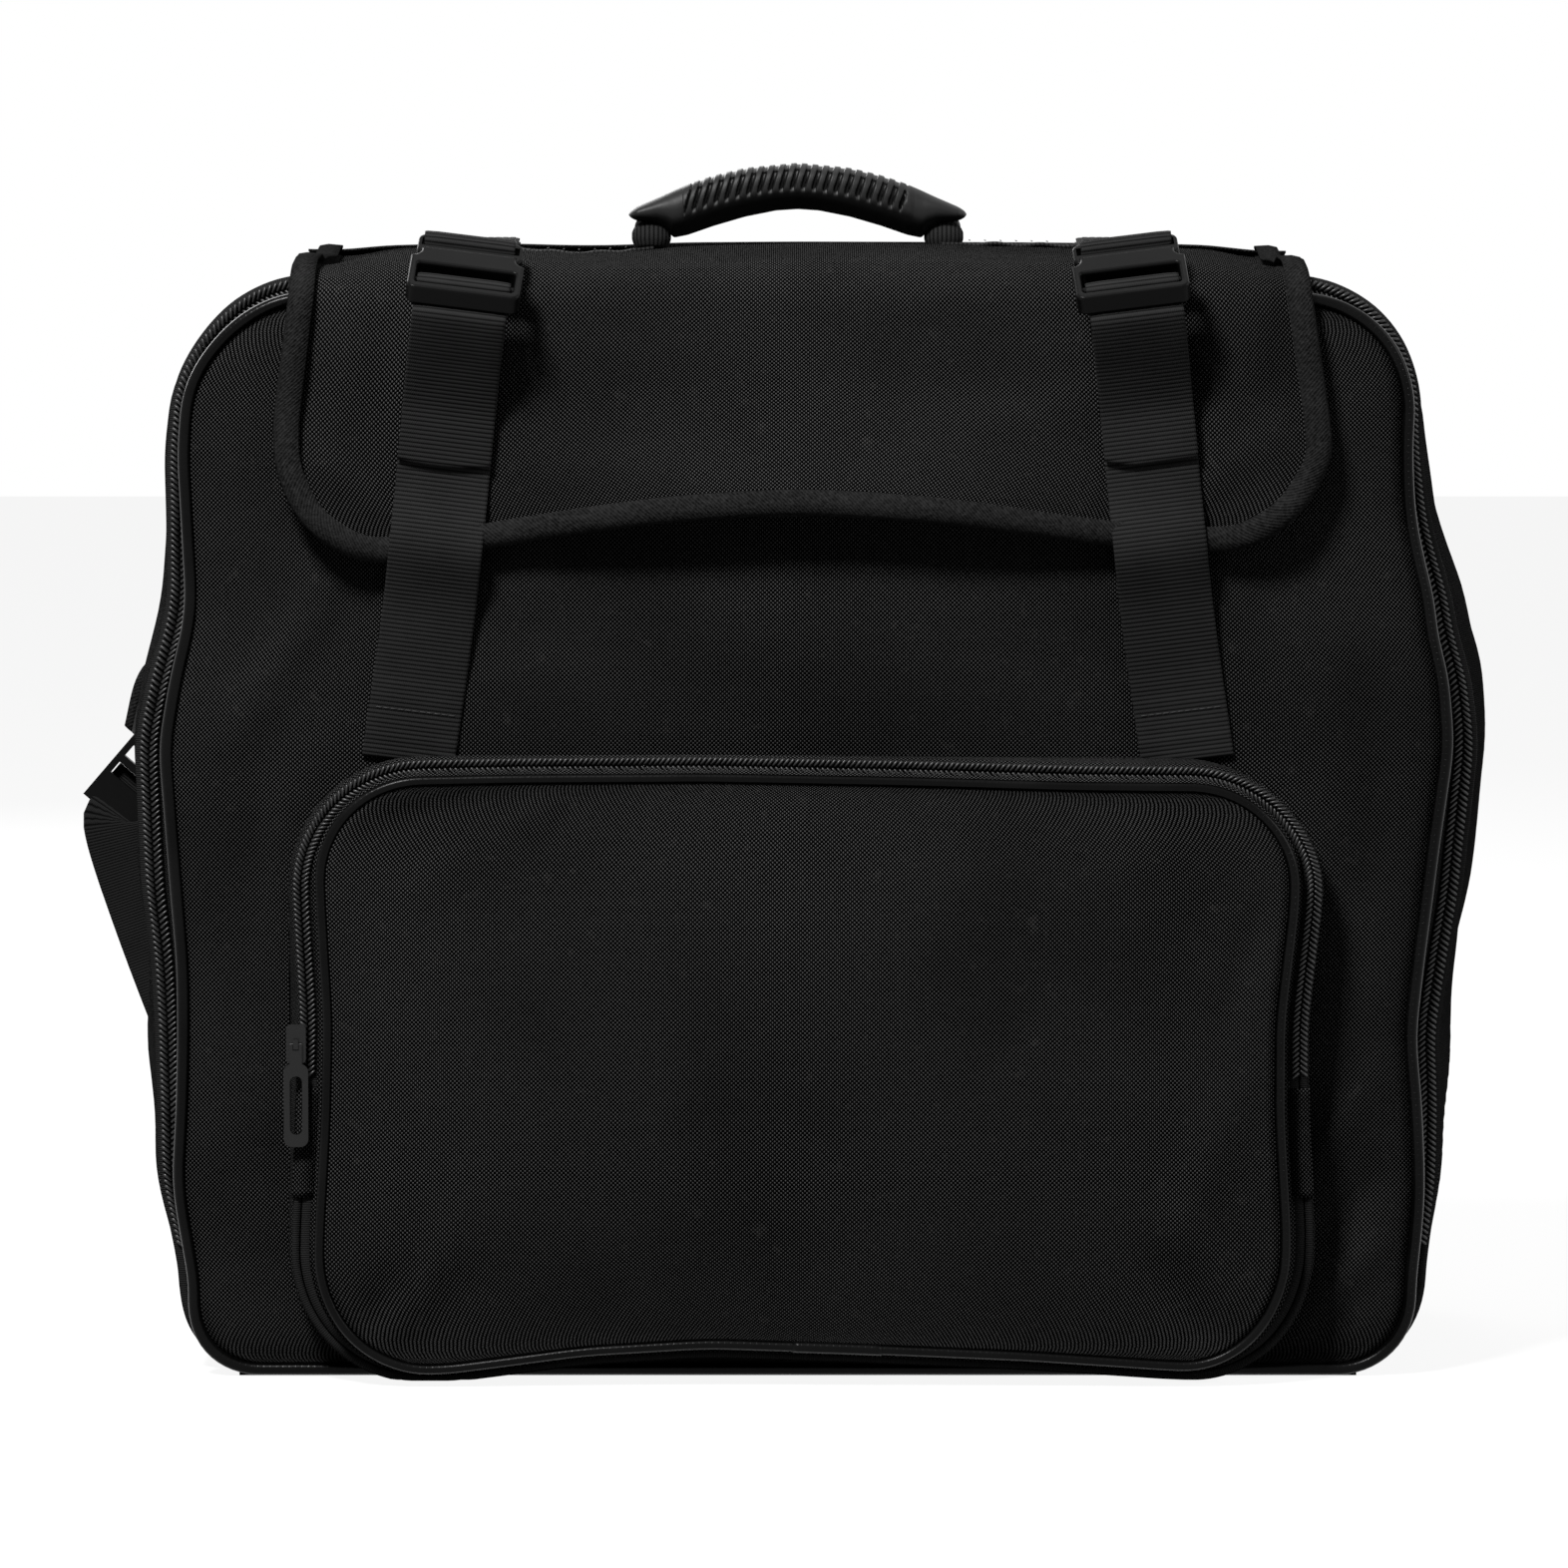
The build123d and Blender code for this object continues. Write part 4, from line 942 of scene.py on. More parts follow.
pocket_cord = 2.0 * mm, pocket_front_y
piping = pocket_carried(pocket_path, pocket_out, cord_section(*pocket_cord))
piping_piece = loft("pocket_piping_cord", piping, piping_vinyl, closed_rows=True)
hang(piping_piece, "piping", "pocket_piping_upper", "pocket_piping_lower", fill=1.0)


def stretch(path, outward, keep, axis):
    """The part of a path where keep holds, in order along an axis."""
    rows = np.flatnonzero(keep)
    rows = rows[np.argsort(path[rows, axis])]
    return path[rows], outward[rows]


# The piping's two ends are joined under a short sleeve at the foot.
near_join = (np.abs(pocket_path[:, 0] - 13 * mm) < 19 * mm) & (pocket_path[:, 2] < 60 * mm)
join = pocket_carried(*stretch(pocket_path, pocket_out, near_join, 0),
                      cord_section(*pocket_cord, sleeve=0.35 * mm))
dress(loft("pocket_piping_join", join, piping_vinyl), "front_panel", "piping")

# The zip and the band behind it, laid out from the rear outline inwards.
rear_route = rounded_path(*rear_outline, spacing=2.8 * mm)
gusset_section = (offsets(front_y, (0, 0), (0.6, -8))
                  + offsets(pocket_zip_y, (0.2, 3), (-1.0, 0.8), (-2.6, 0.6), (-2.4, 2))
                  + offsets(front_y, (-1.4, -8), (-1.4, 0)))
rear_band_piece = loft("pocket_rear_band", pocket_carried(*rear_route, gusset_section), cloth,
                       closed_rows=True)
dress(rear_band_piece, "front_panel", "cloth", "pocket_gusset", fill=0.6)

zip_set = 4.0 * mm          # from the rear outline to the middle of the zip
outer_lip, inner_lip = -(zip_set - 0.3 * mm), -(zip_set + 0.3 * mm)
outer_tape = (offsets(pocket_zip_y, (-0.8, 0.2), (-2, -0.3))
              + [(outer_lip, pocket_zip_y), (outer_lip, pocket_zip_y + 0.8 * mm)]
              + offsets(pocket_zip_y, (-2, 0.6), (-0.8, 1.0)))
outer_tape_piece = loft("pocket_zip_tape_rear", pocket_carried(*rear_route, outer_tape),
                        zip_tape, closed_rows=True)
dress(outer_tape_piece, "front_panel", "zip_coil", "pocket_zip_rear")
inner_tape = ([(inner_lip, pocket_zip_y)]
              + offsets(pocket_zip_y, (-7.0, -0.3), (-10.1, 0.2), (-10.1, 1.0), (-7.0, 0.6))
              + [(inner_lip, pocket_zip_y + 0.8 * mm)])
inner_tape_piece = loft("pocket_zip_tape_front", pocket_carried(*rear_route, inner_tape),
                        zip_tape, closed_rows=True)
hang(inner_tape_piece, "zip_coil", "pocket_zip_front", "pocket_zip_closed")

pocket_zip_foot = 126 * mm
fold_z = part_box("pocket_front_upper")[0][2]
for name, body, side, low, high in (("rear", "front_panel", 1, pocket_zip_foot, np.inf),
                                    ("closed", "front_panel", -1, pocket_zip_foot, fold_z),
                                    ("front", "pocket_front", -1, fold_z, np.inf)):
    coil(f"pocket_zip_coil_{name}", body, rear_route, pocket_slump, side, pocket_zip_y - 1.0 * mm,
         -zip_set, 2.1 * mm, 1.7 * mm, (4.0 * mm, 1.35 * mm, 1.9 * mm), low, high)

# Where each end of the pocket's zip runs out, a folded tab of plain cloth covers it.
sides = ((-1, "left"), (1, "right"))
tab_section = offsets(pocket_zip_y, (0.4, -0.4), (-3, -1.6), (-8.9, -0.8), (-8.9, 0.3),
                      (-3, -0.4), (0.4, 0.5))
for side, name in sides:
    rear_path = rear_route[0]
    beside = (np.abs(rear_path[:, 2] - 100 * mm) < 24 * mm) & (rear_path[:, 0] * side > 0)
    tab = loft(f"pocket_zip_tab_{name}",
               pocket_carried(*stretch(*rear_route, beside, 2), tab_section), cloth)
    dress(tab, "front_panel", "cloth")


# ------------------------------------------------------------------ flap
# A thin padded flap is sewn along the top of the back, lies over the top and hangs down the
# front. Its free edge is bound with folded tape. The straps press it down in two places.
flap_half, flap_back_y = np.array(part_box("flap_cover")[1])[:2]
flap_thick = 4.4 * mm
flap_side = np.array([[flap_back_y, 0.4606], [0.085, 0.4628], [0.040, 0.4636], [-0.010, 0.4640],
                      [-0.060, 0.4634], [-0.092, 0.4614], [-0.112, 0.4552], [-0.1222, 0.4445],
                      [-0.1262, 0.4280], [-0.1272, 0.4050], [-0.1277, 0.3750], [-0.1282, 0.3440]])
flap_heights = np.array([340, 365, 382, 394, 443, 462]) * mm
flap_left = np.array([210, 211, 213, 213, 207, 206]) * mm
flap_right = np.array([212, 214, 217, 216, 209, 207]) * mm
edge_across = np.array([-205, -167, -122, -60, 0, 60, 122, 169, 205]) * mm
edge_drop = np.array([4, 10, 1, -8, -12, -8, 1, 5, 0]) * mm


def profile(table, at):
    """Smooth curve through a table of points, by length: cubic steps between its points."""
    run = lengths(table)
    slope = np.gradient(table, run, axis=0)
    at = np.clip(at, 0, run[-1] + 30 * mm)
    k = np.clip(np.searchsorted(run, at, side="right") - 1, 0, len(run) - 2)
    gap = run[k + 1] - run[k]
    t = ((at - run[k]) / gap)[..., None]
    beyond = np.maximum(t - 1, 0) * gap[..., None]
    t = np.minimum(t, 1)
    gap = gap[..., None]
    value = ((2 * t ** 3 - 3 * t ** 2 + 1) * table[k] + (t ** 3 - 2 * t ** 2 + t) * gap * slope[k]
             + (3 * t ** 2 - 2 * t ** 3) * table[k + 1] + (t ** 3 - t ** 2) * gap * slope[k + 1])
    return value + beyond * slope[-1]


flap_run = float(np.linalg.norm(np.diff(flap_side, axis=0), axis=1).sum())
flap_corner = 38 * mm
skirt_top = flap_run - 118 * mm


flap_loft = 1.5 * mm        # how much less than the top the flap sinks
end_sink = 4 * mm
middle_lift, corner_lift = 12.0 * mm, 6 * mm


def flap_sag(x):
    """The flap sinks with the top below it, and a little further at its two ends."""
    return shell_sag(x) - flap_loft + end_sink * step(np.abs(x), 0.174, 0.203)


def flap_place(x, s):
    """Point of the flap's outer face, from its pattern: x across and s down from the back.

    The pattern's x is stretched to the flap's real width at that height, the lower edge rises
    in the middle and drops at the corners, and the skirt stands off between the straps.
    """
    skirt = step(s, skirt_top, flap_run - 10 * mm)
    s = s + smooth_curve(x, edge_across, edge_drop, 30 * mm) * skirt
    side = profile(flap_side, s)
    y, z = side[..., 0], side[..., 1]
    half = np.where(x < 0, np.interp(z, flap_heights, flap_left),
                    np.interp(z, flap_heights, flap_right))
    top_edge = step(y, -0.10, 0.06) * 1.5 * mm
    across = x / flap_half * (half + top_edge)
    lift = (middle_lift * np.exp(-(x / 0.098) ** 4)
            + corner_lift * step(np.abs(x), 0.168, 0.20))
    y = y - lift * step(s, flap_run - 65 * mm, flap_run)
    droop = flap_sag(x) * (0.6 * step(-s, -flap_run + 100 * mm, -flap_run + 140 * mm)
                           + 0.4 * step(side[..., 0], -98 * mm, -50 * mm))
    droop = droop * (0.35 + 0.65 * step(s, 0, 60 * mm))
    return np.stack([across, y, z - droop], -1)


def facing(points):
    """Outward unit normals of a grid of points, rows by columns."""
    down = np.gradient(points, axis=0)
    across = np.gradient(points, axis=1)
    return unit(np.cross(down, across))


flap_outline = (2 * flap_half, -flap_run, 2 * flap_corner, 2 * flap_corner, flap_corner)
x, s = rounded_grid(*flap_outline, spacing=5 * mm)
rows_used = s[:, 0] < 1e-6
x, s = x[rows_used][::-1], -s[rows_used][::-1]
flap_face = flap_place(x, s)
inside = np.minimum(border_distance(x, -s, *flap_outline), s)
open_cloth = step(inside, 8 * mm, 32 * mm)
relief = ripple(x, s, 120 * mm, 31, 2.0 * mm) * open_cloth
add_creases(relief, x, s, [
    (-0.185, skirt_top + 0.030, 0.030, 0.006, 62, 2.4),
    (-0.172, skirt_top + 0.052, 0.040, 0.008, 100, -1.8),
    (-0.176, flap_run - 0.026, 0.026, 0.006, 35, 2.0),
    (0.184, skirt_top + 0.040, 0.036, 0.007, 112, 2.2),
    (0.172, flap_run - 0.032, 0.030, 0.006, 140, 2.0),
    (0.05, flap_run - 0.045, 0.06, 0.012, -6, 1.8),
    (-0.06, flap_run - 0.035, 0.05, 0.012, 8, -1.4)])
pressed = np.exp(-((np.abs(x) - 0.146) / 0.020) ** 2) * step(s, skirt_top, skirt_top + 30 * mm)
relief = relief * (1 - 0.9 * pressed) - 0.8 * mm * pressed + 1.2 * mm * open_cloth * (1 - pressed)
under_handle = step(-np.abs(x), -146 * mm, -130 * mm) * np.exp(-((s - 137 * mm) / (26 * mm)) ** 2)
relief *= step(inside, 0, 16 * mm) * (1 - under_handle)
flap_sheet = flap_face + facing(flap_face) * relief[..., None]
sewn = ((inside < 9 * mm) | (pressed > 0.5) | (under_handle > 0.4)).astype(float)
flap_sheet = settle(flap_sheet, sewn, 0.022 * open_cloth, 0.5, 1.0, 3.0 * mm)
flap_under = flap_face - facing(flap_face) * flap_thick
flap_piece = pad("flap_pad", flap_sheet, flap_under, cloth, lining)
dress(flap_piece, "flap", "cloth", "flap_cover", "flap_padding", "flap_lining", fill=0.6)


# Bias tape 10 mm wide is folded over the flap's free edge and stitched through.
def binding_tape(name):
    """Folded twill tape: fine slanting ribs with a raised line where the needle went."""
    paint = Paint(name, Specular_IOR_Level=0.0)
    u, v = paint.thread()
    ribs = ((u + v) / (1.7 * mm) * (2.0 * np.pi)).sine() * 0.5 + 0.5
    wide, fluff = paint.grain((35.0, 3.0), (620.0, 4.0, 0.7))
    fibres = ribs * 0.45 + fluff.between(0.3, 0.7) * 0.55
    colour = paint.mix(fibres, grey(0.0025), grey(0.028))
    colour = paint.mix(wide.between(0.45, 0.8) * 0.3, colour, grey(0.028))
    return paint.finish(colour, 0.66 - ribs * 0.1, fibres, 0.45 * mm, 1.0)


binding_twill = binding_tape("binding_twill")


def even(points, spacing):
    """Points divided evenly along their length."""
    run = lengths(points)
    return sampled(points, run, np.linspace(0, run[-1], max(int(run[-1] / spacing), 2)))


def flap_edge_path():
    """Pattern points down the left edge, round the lower edge and up the right one."""
    turn = np.linspace(0, np.pi / 2, 20)
    left = np.stack([-flap_half + 0 * turn, np.linspace(0, flap_run - flap_corner, 20)], 1)
    corner = np.array([-flap_half + flap_corner, flap_run - flap_corner])
    bend = corner + flap_corner * np.stack([-np.cos(turn), np.sin(turn)], 1)
    half = np.concatenate([left, bend[1:]])
    return even(np.concatenate([half, half[::-1] * np.array([-1, 1])]), 3 * mm)


def edge_frame(path):
    """Places along the flap's edge, the ways inwards and out of its face, by finite steps."""
    ahead = unit(np.gradient(path, axis=0))
    inward = np.stack([ahead[:, 1], -ahead[:, 0]], 1)
    tiny = 0.5 * mm
    middle = flap_place(*path.T)
    way_in = unit(flap_place(*(path + inward * tiny).T) - middle)
    way_on = unit(flap_place(*(path + ahead * tiny).T) - flap_place(*(path - ahead * tiny).T))
    return middle, way_in, unit(np.cross(way_in, way_on))


edge_middle, edge_in, edge_face = edge_frame(flap_edge_path())
binding_width = 10 * mm
lip = 0.9 * mm
half_thick = flap_thick / 2
wrap = np.array([
    (binding_width, lip * 0.3), (binding_width - 0.5 * mm, lip), (8.2 * mm, lip),
    (7.6 * mm, lip * 0.5), (7.0 * mm, lip * 1.05), (2.2 * mm, lip * 1.15),
    (1.0 * mm, lip * 0.9), (0.1 * mm, 0), (-0.5 * mm, -half_thick),
    (0.6 * mm, -2 * half_thick - 0.2 * mm), (4 * mm, -2 * half_thick - lip),
    (binding_width, -2 * half_thick - lip * 0.6), (binding_width, -2 * half_thick + 0.4 * mm),
    (4 * mm, -2 * half_thick + 0.4 * mm), (4 * mm, -0.6 * mm), (binding_width, -0.6 * mm)])
tape_points = (edge_middle[:, None, :] + edge_in[:, None, :] * wrap[None, :, :1]
               + edge_face[:, None, :] * wrap[None, :, 1:])
tape_ripple = ripple(edge_middle[:, 0], edge_middle[:, 2], 40 * mm, 41, 0.5 * mm)
tape_points += edge_face[:, None, :] * tape_ripple[:, None, None]
binding_piece = loft("flap_binding_tape", tape_points, binding_twill)
dress(binding_piece, "flap", "webbing", "flap_binding", fill=0.9)


# Sewing thread shows as short raised dashes wherever something is stitched down.
def sewing_thread(name):
    """Twisted thread, a little lighter than the cloth it lies on."""
    paint = Paint(name, Specular_IOR_Level=0.25)
    fine = paint.grain((1200.0, 2.0))[0]
    colour = paint.mix(fine.between(0.3, 0.7), grey(0.012), grey(0.035))
    return paint.finish(colour, 0.5 + fine * 0.2, fine, 0.05 * mm, 0.5)


thread_black = sewing_thread("sewing_thread")


def stitches(name, line, face, body, pitch=3.4 * mm, proud=0.15 * mm):
    """Row of stitches along a line of points, on a face with the normal or normals given."""
    run = lengths(line)
    at = np.arange(pitch / 2, run[-1], pitch)
    ahead = unit(sampled(line, run, at + pitch / 4) - sampled(line, run, at - pitch / 4))
    normal = unit(sampled(np.broadcast_to(face, line.shape), run, at))
    row = bars(name, sampled(line, run, at) + normal * proud, ahead,
               unit(np.cross(ahead, normal)), normal, 2.5 * mm, 0.55 * mm, 0.45 * mm,
               thread_black)
    dress(row, body, "webbing")


stitch_line = (edge_middle + edge_in * (binding_width - 1.8 * mm)
               + edge_face * (lip + tape_ripple[:, None]))
stitches("flap_binding_stitches", stitch_line, edge_face, "flap")

# The flap's back edge is caught under a seam tape on the back.
seam_side = np.array([(back_y + 1.5 * mm, 0.434), (back_y + 1.9 * mm, 0.446),
                      (back_y + 1.2 * mm, 0.455), (back_y - 1.0 * mm, 0.4612),
                      (back_y - 7 * mm, 0.4634), (back_y - 13 * mm, 0.4638)])
thin = np.array([(-1.0, 0), (-1.0, 0), (-0.8, -0.5), (-0.5, -0.8), (0, -1.0), (0, -1.0)]) * mm
seam_points = np.empty((90, 2 * len(seam_side), 3))
seam_points[..., 0] = np.linspace(-flap_half, flap_half, 90)[:, None]
seam_points[..., 1:] = np.concatenate([seam_side, (seam_side + thin)[::-1]])
seam_points[..., 1] += ripple(seam_points[..., 0], seam_points[..., 2], 50 * mm, 51, 0.4 * mm)
seam_points[..., 2] -= 0.35 * flap_sag(seam_points[..., 0])
seam_piece = loft("flap_seam_binding", seam_points, binding_twill)
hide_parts("flap_seam_tape")
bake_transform(seam_piece)


# ------------------------------------------------------------------ closing straps
# Two lengths of heavy ribbed webbing come up from the pocket's upper seam, lie on the flap and
# turn round the bar in each buckle. Their tails hang down in front, cut off and sealed.
def webbing_cloth(name, pitch=1.8 * mm, tone=0.017):
    """Flat woven ribs across the webbing, each a round thread, with a fine twill between. The rib
    crowns carry a painted highlight and the grooves painted shade, near black.
    """
    paint = Paint(name, Sheen_Roughness=0.45, Specular_IOR_Level=0.01)
    u, v = paint.thread()
    ribs = (u / pitch * np.pi).sine().absolute()
    twill = ((v / (0.8 * mm) + u / pitch) * (2.0 * np.pi)).sine() * 0.5 + 0.5
    worn = paint.grain((22.0, 4.0))[0].between(0.35, 0.75)
    # Painted highlight on the rib crowns and painted shade in the grooves, with a mottling on top.
    light = ribs.between(0.1, 0.9) * 0.65 + twill * 0.15 + worn * 0.2
    colour = paint.mix(light, grey(tone * 0.08), grey(tone * 1.7))
    height = ribs * 0.75 + twill * 0.25
    return paint.finish(colour, 0.66 - ribs * 0.12, height, 0.28 * mm, 0.9)


strap_webbing = webbing_cloth("strap_webbing_weave")


def smoothed(points, passes=3):
    """Corner cutting: each run of the route is replaced by its middle half, again and again."""
    points = np.asarray(points, float)
    for _ in range(passes):
        near = points[:-1] * 0.75 + points[1:] * 0.25
        far = points[:-1] * 0.25 + points[1:] * 0.75
        middle = np.stack([near, far], 1).reshape(-1, points.shape[1])
        points = np.concatenate([points[:1], middle, points[-1:]])
    return points


def webbing_band(name, line, across, width, thickness, material, end_cut=None):
    """Flat band along a line: its section is a rectangle whose two edges are thinned.

    The band's normal is at right angles to the line and to across. end_cut gives, from the
    share -1 to 1 across the width, how far the last rows are drawn along the line.
    """
    ahead = unit(np.gradient(line, axis=0))
    across = np.broadcast_to(np.asarray(across, float), line.shape)
    out = unit(np.cross(ahead, across))
    share = np.array([-1.0, -0.94, -0.7, -0.35, 0.0, 0.35, 0.7, 0.94, 1.0])
    half = thickness / 2 * (1 - 0.55 * np.abs(share) ** 12)
    u = np.concatenate([share, share[::-1]]) * width / 2
    t = np.concatenate([half, -half[::-1]])
    points = (line[:, None, :] + across[:, None, :] * u[None, :, None]
              + out[:, None, :] * t[None, :, None])
    run = lengths(line)
    along = np.broadcast_to(run[:, None], points.shape[:2]).copy()
    if end_cut is not None:
        near_end = step(run, run[-1] - 9 * mm, run[-1])[:, None]
        shift = near_end * end_cut(u / width * 2)[None, :]
        points += ahead[:, None, :] * shift[..., None]
        along += shift
    thread = np.stack([along, np.broadcast_to(u[None, :], points.shape[:2])], -1)
    return loft(name, points, material, thread=thread)


strap_lean = np.radians(7.0)
buckle_tilt = np.radians(36.0)
strap_foot_z = 277 * mm
strap_thickness = 1.6 * mm
buckle_seat = np.array([-120 * mm - 14.5 * mm * np.sin(buckle_tilt),
                        448 * mm + 14.5 * mm * np.cos(buckle_tilt)])


def on_buckle(*places):
    """Points (y, z) from mm along a buckle and out of its face, before the lean."""
    ways = np.array([[np.cos(buckle_tilt), np.sin(buckle_tilt)],
                     [-np.sin(buckle_tilt), np.cos(buckle_tilt)]])
    return [buckle_seat + along * mm * ways[0] + out * mm * ways[1] for along, out in places]


def leaning(side, route):
    """A (y, z) route turned by the strap's lean about its foot, as (x, y, z) points."""
    route = np.asarray(route, float)
    rise = route[:, 1] - strap_foot_z
    return np.stack([side * (strap_x - np.sin(strap_lean) * rise), route[:, 0],
                     strap_foot_z + np.cos(strap_lean) * rise], 1)


def for_both(side, node):
    """Names a solid that stands for both sides' pieces, on the left only."""
    return [node] if side < 0 else []


def lean_across(side):
    """Direction across a strap that leans about its foot."""
    return np.array([np.cos(strap_lean), 0, side * np.sin(strap_lean)])


def panel_face(x, z):
    """Depth of the dressed panel's front at the nearest point of its grid."""
    gap = (front_sheet[..., 0].ravel() - x) ** 2 + (front_sheet[..., 2].ravel() - z) ** 2
    return front_sheet[..., 1].ravel()[np.argmin(gap)]


strap_route = [(-0.1206, 0.254), (-0.1212, 0.266), (-0.1216, 0.277), (-0.1256, 0.305),
               (-0.1298, 0.338), (-0.1300, 0.372), (-0.1302, 0.404),
               *on_buckle((-26.5, -5.4), (-20.5, -5.0), (-16.6, -1.8), (-16.6, 4.3),
                          (-22.4, 4.3), (-22.6, -0.8), (-25.0, -3.4), (-29.0, -3.4),
                          (-33.0, -4.2)),
               (-0.1334, 0.404), (-0.1324, 0.388), (-0.1322, 0.377)]
strap_ends = {-1: lambda share: 1.6 * mm * (1 - share ** 2) - 0.5 * mm * share,
              1: lambda share: -3.2 * mm * step(-share, 0.45, 1.0) - 0.4 * mm * share}
binding_z = 342 * mm        # where the straps ride over the flap's binding
binding_bulge = 5.2 * mm
strap_stand_off = 1.1 * mm
foot_stitch_z = 0.2745
forwards, backwards, upwards = (0.0, -1.0, 0.0), (0.0, 1.0, 0.0), (0.0, 0.0, 1.0)
for side, name in sides:
    line = even(smoothed(leaning(side, strap_route)), 1.6 * mm)
    rising = np.arange(len(line)) < len(line) // 2
    low = (line[:, 2] < 330 * mm) & rising
    faces = np.array([min(panel_face(x + reach, z) for reach in (0, -15 * mm, 15 * mm))
                      for x, z in line[low][:, [0, 2]]])
    line[low, 1] = np.minimum(line[low, 1], faces - strap_stand_off)
    over_tape = np.exp(-((line[:, 2] - binding_z) / (15 * mm)) ** 2)
    line[:, 1] -= binding_bulge * over_tape * rising
    line[:, 0] += side * 0.8 * mm * np.sin(line[:, 2] * 34)
    band = webbing_band(f"closing_strap_{name}", line, lean_across(side), strap_width,
                        strap_thickness, strap_webbing, end_cut=strap_ends[side])
    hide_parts(f"strap_webbing_{name}")
    tuple(leaning(side, [(-0.1216, 0.267)])[0])
    tuple(leaning(side, [(-0.1230, 0.290)])[0])
    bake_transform(band)
    foot = leaning(side, [(line[0, 1], foot_stitch_z)])[0]
    nearest = np.argmin(np.abs(line[:len(line) // 2, 2] - foot_stitch_z))
    foot[1] = line[nearest, 1] - strap_thickness / 2
    sewn_line = foot + lean_across(side) * np.linspace(-16.5, 16.5, 12)[:, None] * mm
    stitches(f"strap_foot_stitches_{name}", sewn_line, forwards, "front_panel", pitch=3.0 * mm)

# The sewn feet themselves lie under the straps, down to the pocket's seam.
for side, name in sides:
    foot_line = leaning(side, [(-0.1204, 0.256), (-0.1206, 0.268), (-0.1206, 0.2785)])
    foot_band = webbing_band(f"strap_foot_{name}", even(foot_line, 1.5 * mm), lean_across(side),
                             strap_width - 2 * mm, 1.2 * mm, strap_webbing)
    dress(foot_band, "front_panel", "webbing", *for_both(side, "strap_feet"))


# ------------------------------------------------------------------ buckles
# Side-squeeze buckles moulded in black acetal: smooth and glossy on their edges, slightly
# scuffed on their faces. The male halves are held to the flap by a loop of the same webbing.
def moulded(name, tone=0.0022, rough=0.26):
    """Moulded plastic: a faint orange-peel, soft cloudy gloss and a few fine scuffs."""
    paint = Paint(name, IOR=1.49, Specular_IOR_Level=0.06)
    wide, fine, worn = paint.grain((26.0, 4.0), (420.0, 3.0), (130.0, 6.0, 0.7))
    scuffs = worn.between(0.60, 0.72)
    colour = paint.mix(wide.between(0.3, 0.7), grey(tone * 0.7), grey(tone * 1.5))
    colour = paint.mix(scuffs * 0.35, colour, grey(tone * 3.0))
    roughness = rough + wide * 0.12 + scuffs * 0.18
    return paint.finish(colour, roughness, fine * 0.6 + wide * 0.4, 0.05 * mm, 0.6)


def repaint(material, *nodes):
    """Give solids that keep their own shape a better material."""
    for node in nodes:
        for holder in bpy.data.objects[node].material_slots:
            holder.material = material


acetal = moulded("moulded_acetal")
repaint(acetal, *(f"{kind}_{name}" for kind in ("buckle_female", "buckle_male", "ladder_lock")
                  for side, name in sides))

lean_drop = 1.4 * mm
anchor_z = 0.4605
anchor_route = [(-0.0545, 0.4648), (-0.072, 0.4645), (-0.0885, 0.4632), (-0.103, 0.4612),
                *on_buckle((10.8, -5.0), (7.0, -5.2), (5.9, -3.4), (5.9, 1.2), (6.6, 3.5),
                           (10.2, 3.6), (13.2, 2.6), (13.6, -2.6)),
                (-0.104, 0.4632), (-0.0885, 0.4651), (-0.066, 0.4665)]
for side, name in sides:
    route = np.array(anchor_route)
    route[4:12, 1] -= lean_drop
    route = even(smoothed(route), 1.6 * mm)
    at_x = side * (strap_x - np.tan(strap_lean) * (anchor_z - strap_foot_z))
    turn = strap_lean * step(-route[:, 0], 0.096, 0.112) * side
    across = np.stack([np.cos(turn), 0 * turn, np.sin(turn)], 1)
    line = np.stack([np.full(len(route), at_x), route[:, 0], route[:, 1]], 1)
    loop_band = webbing_band(f"buckle_anchor_{name}", line, across, strap_width - 1 * mm,
                             strap_thickness, strap_webbing)
    dress(loop_band, "flap", "webbing", *for_both(side, "buckle_webbing"))
    for y in (-0.060, -0.080):
        row = np.linspace(-16, 16, 12)[:, None] * np.array([mm, 0, 0]) + np.array(
            [at_x, y, np.interp(-y, [0.054, 0.0885], [0.4672, 0.4660])])
        stitches(f"anchor_stitches_{name}_{int(-y * 1000)}", row, upwards, "flap",
                 pitch=3.0 * mm)


# ------------------------------------------------------------------ carrying handle
# A moulded rubber grip with slanting finger grooves over a spring steel strip. Its hollow ends
# hook into steel rings, which turn in eyes of doubled webbing sewn to the flap.
handle_y = -20 * mm
pivot_z = 466.5 * mm
ring_x = 61.2 * mm
grip_x = np.array([0, 22, 35, 44, 52, 57, 65, 70]) * mm
grip_top_z = np.array([498.0, 495.9, 492.8, 489.8, 486.4, 484.0, 480.6, 478.4]) * mm
under_x = np.array([0, 9, 22, 35, 46, 52, 54.5, 58.5, 66, 70]) * mm
under_z = np.array([478.6, 478.0, 475.4, 471.6, 467.8, 466.6, 469.6, 472.6, 473.6, 474.2]) * mm


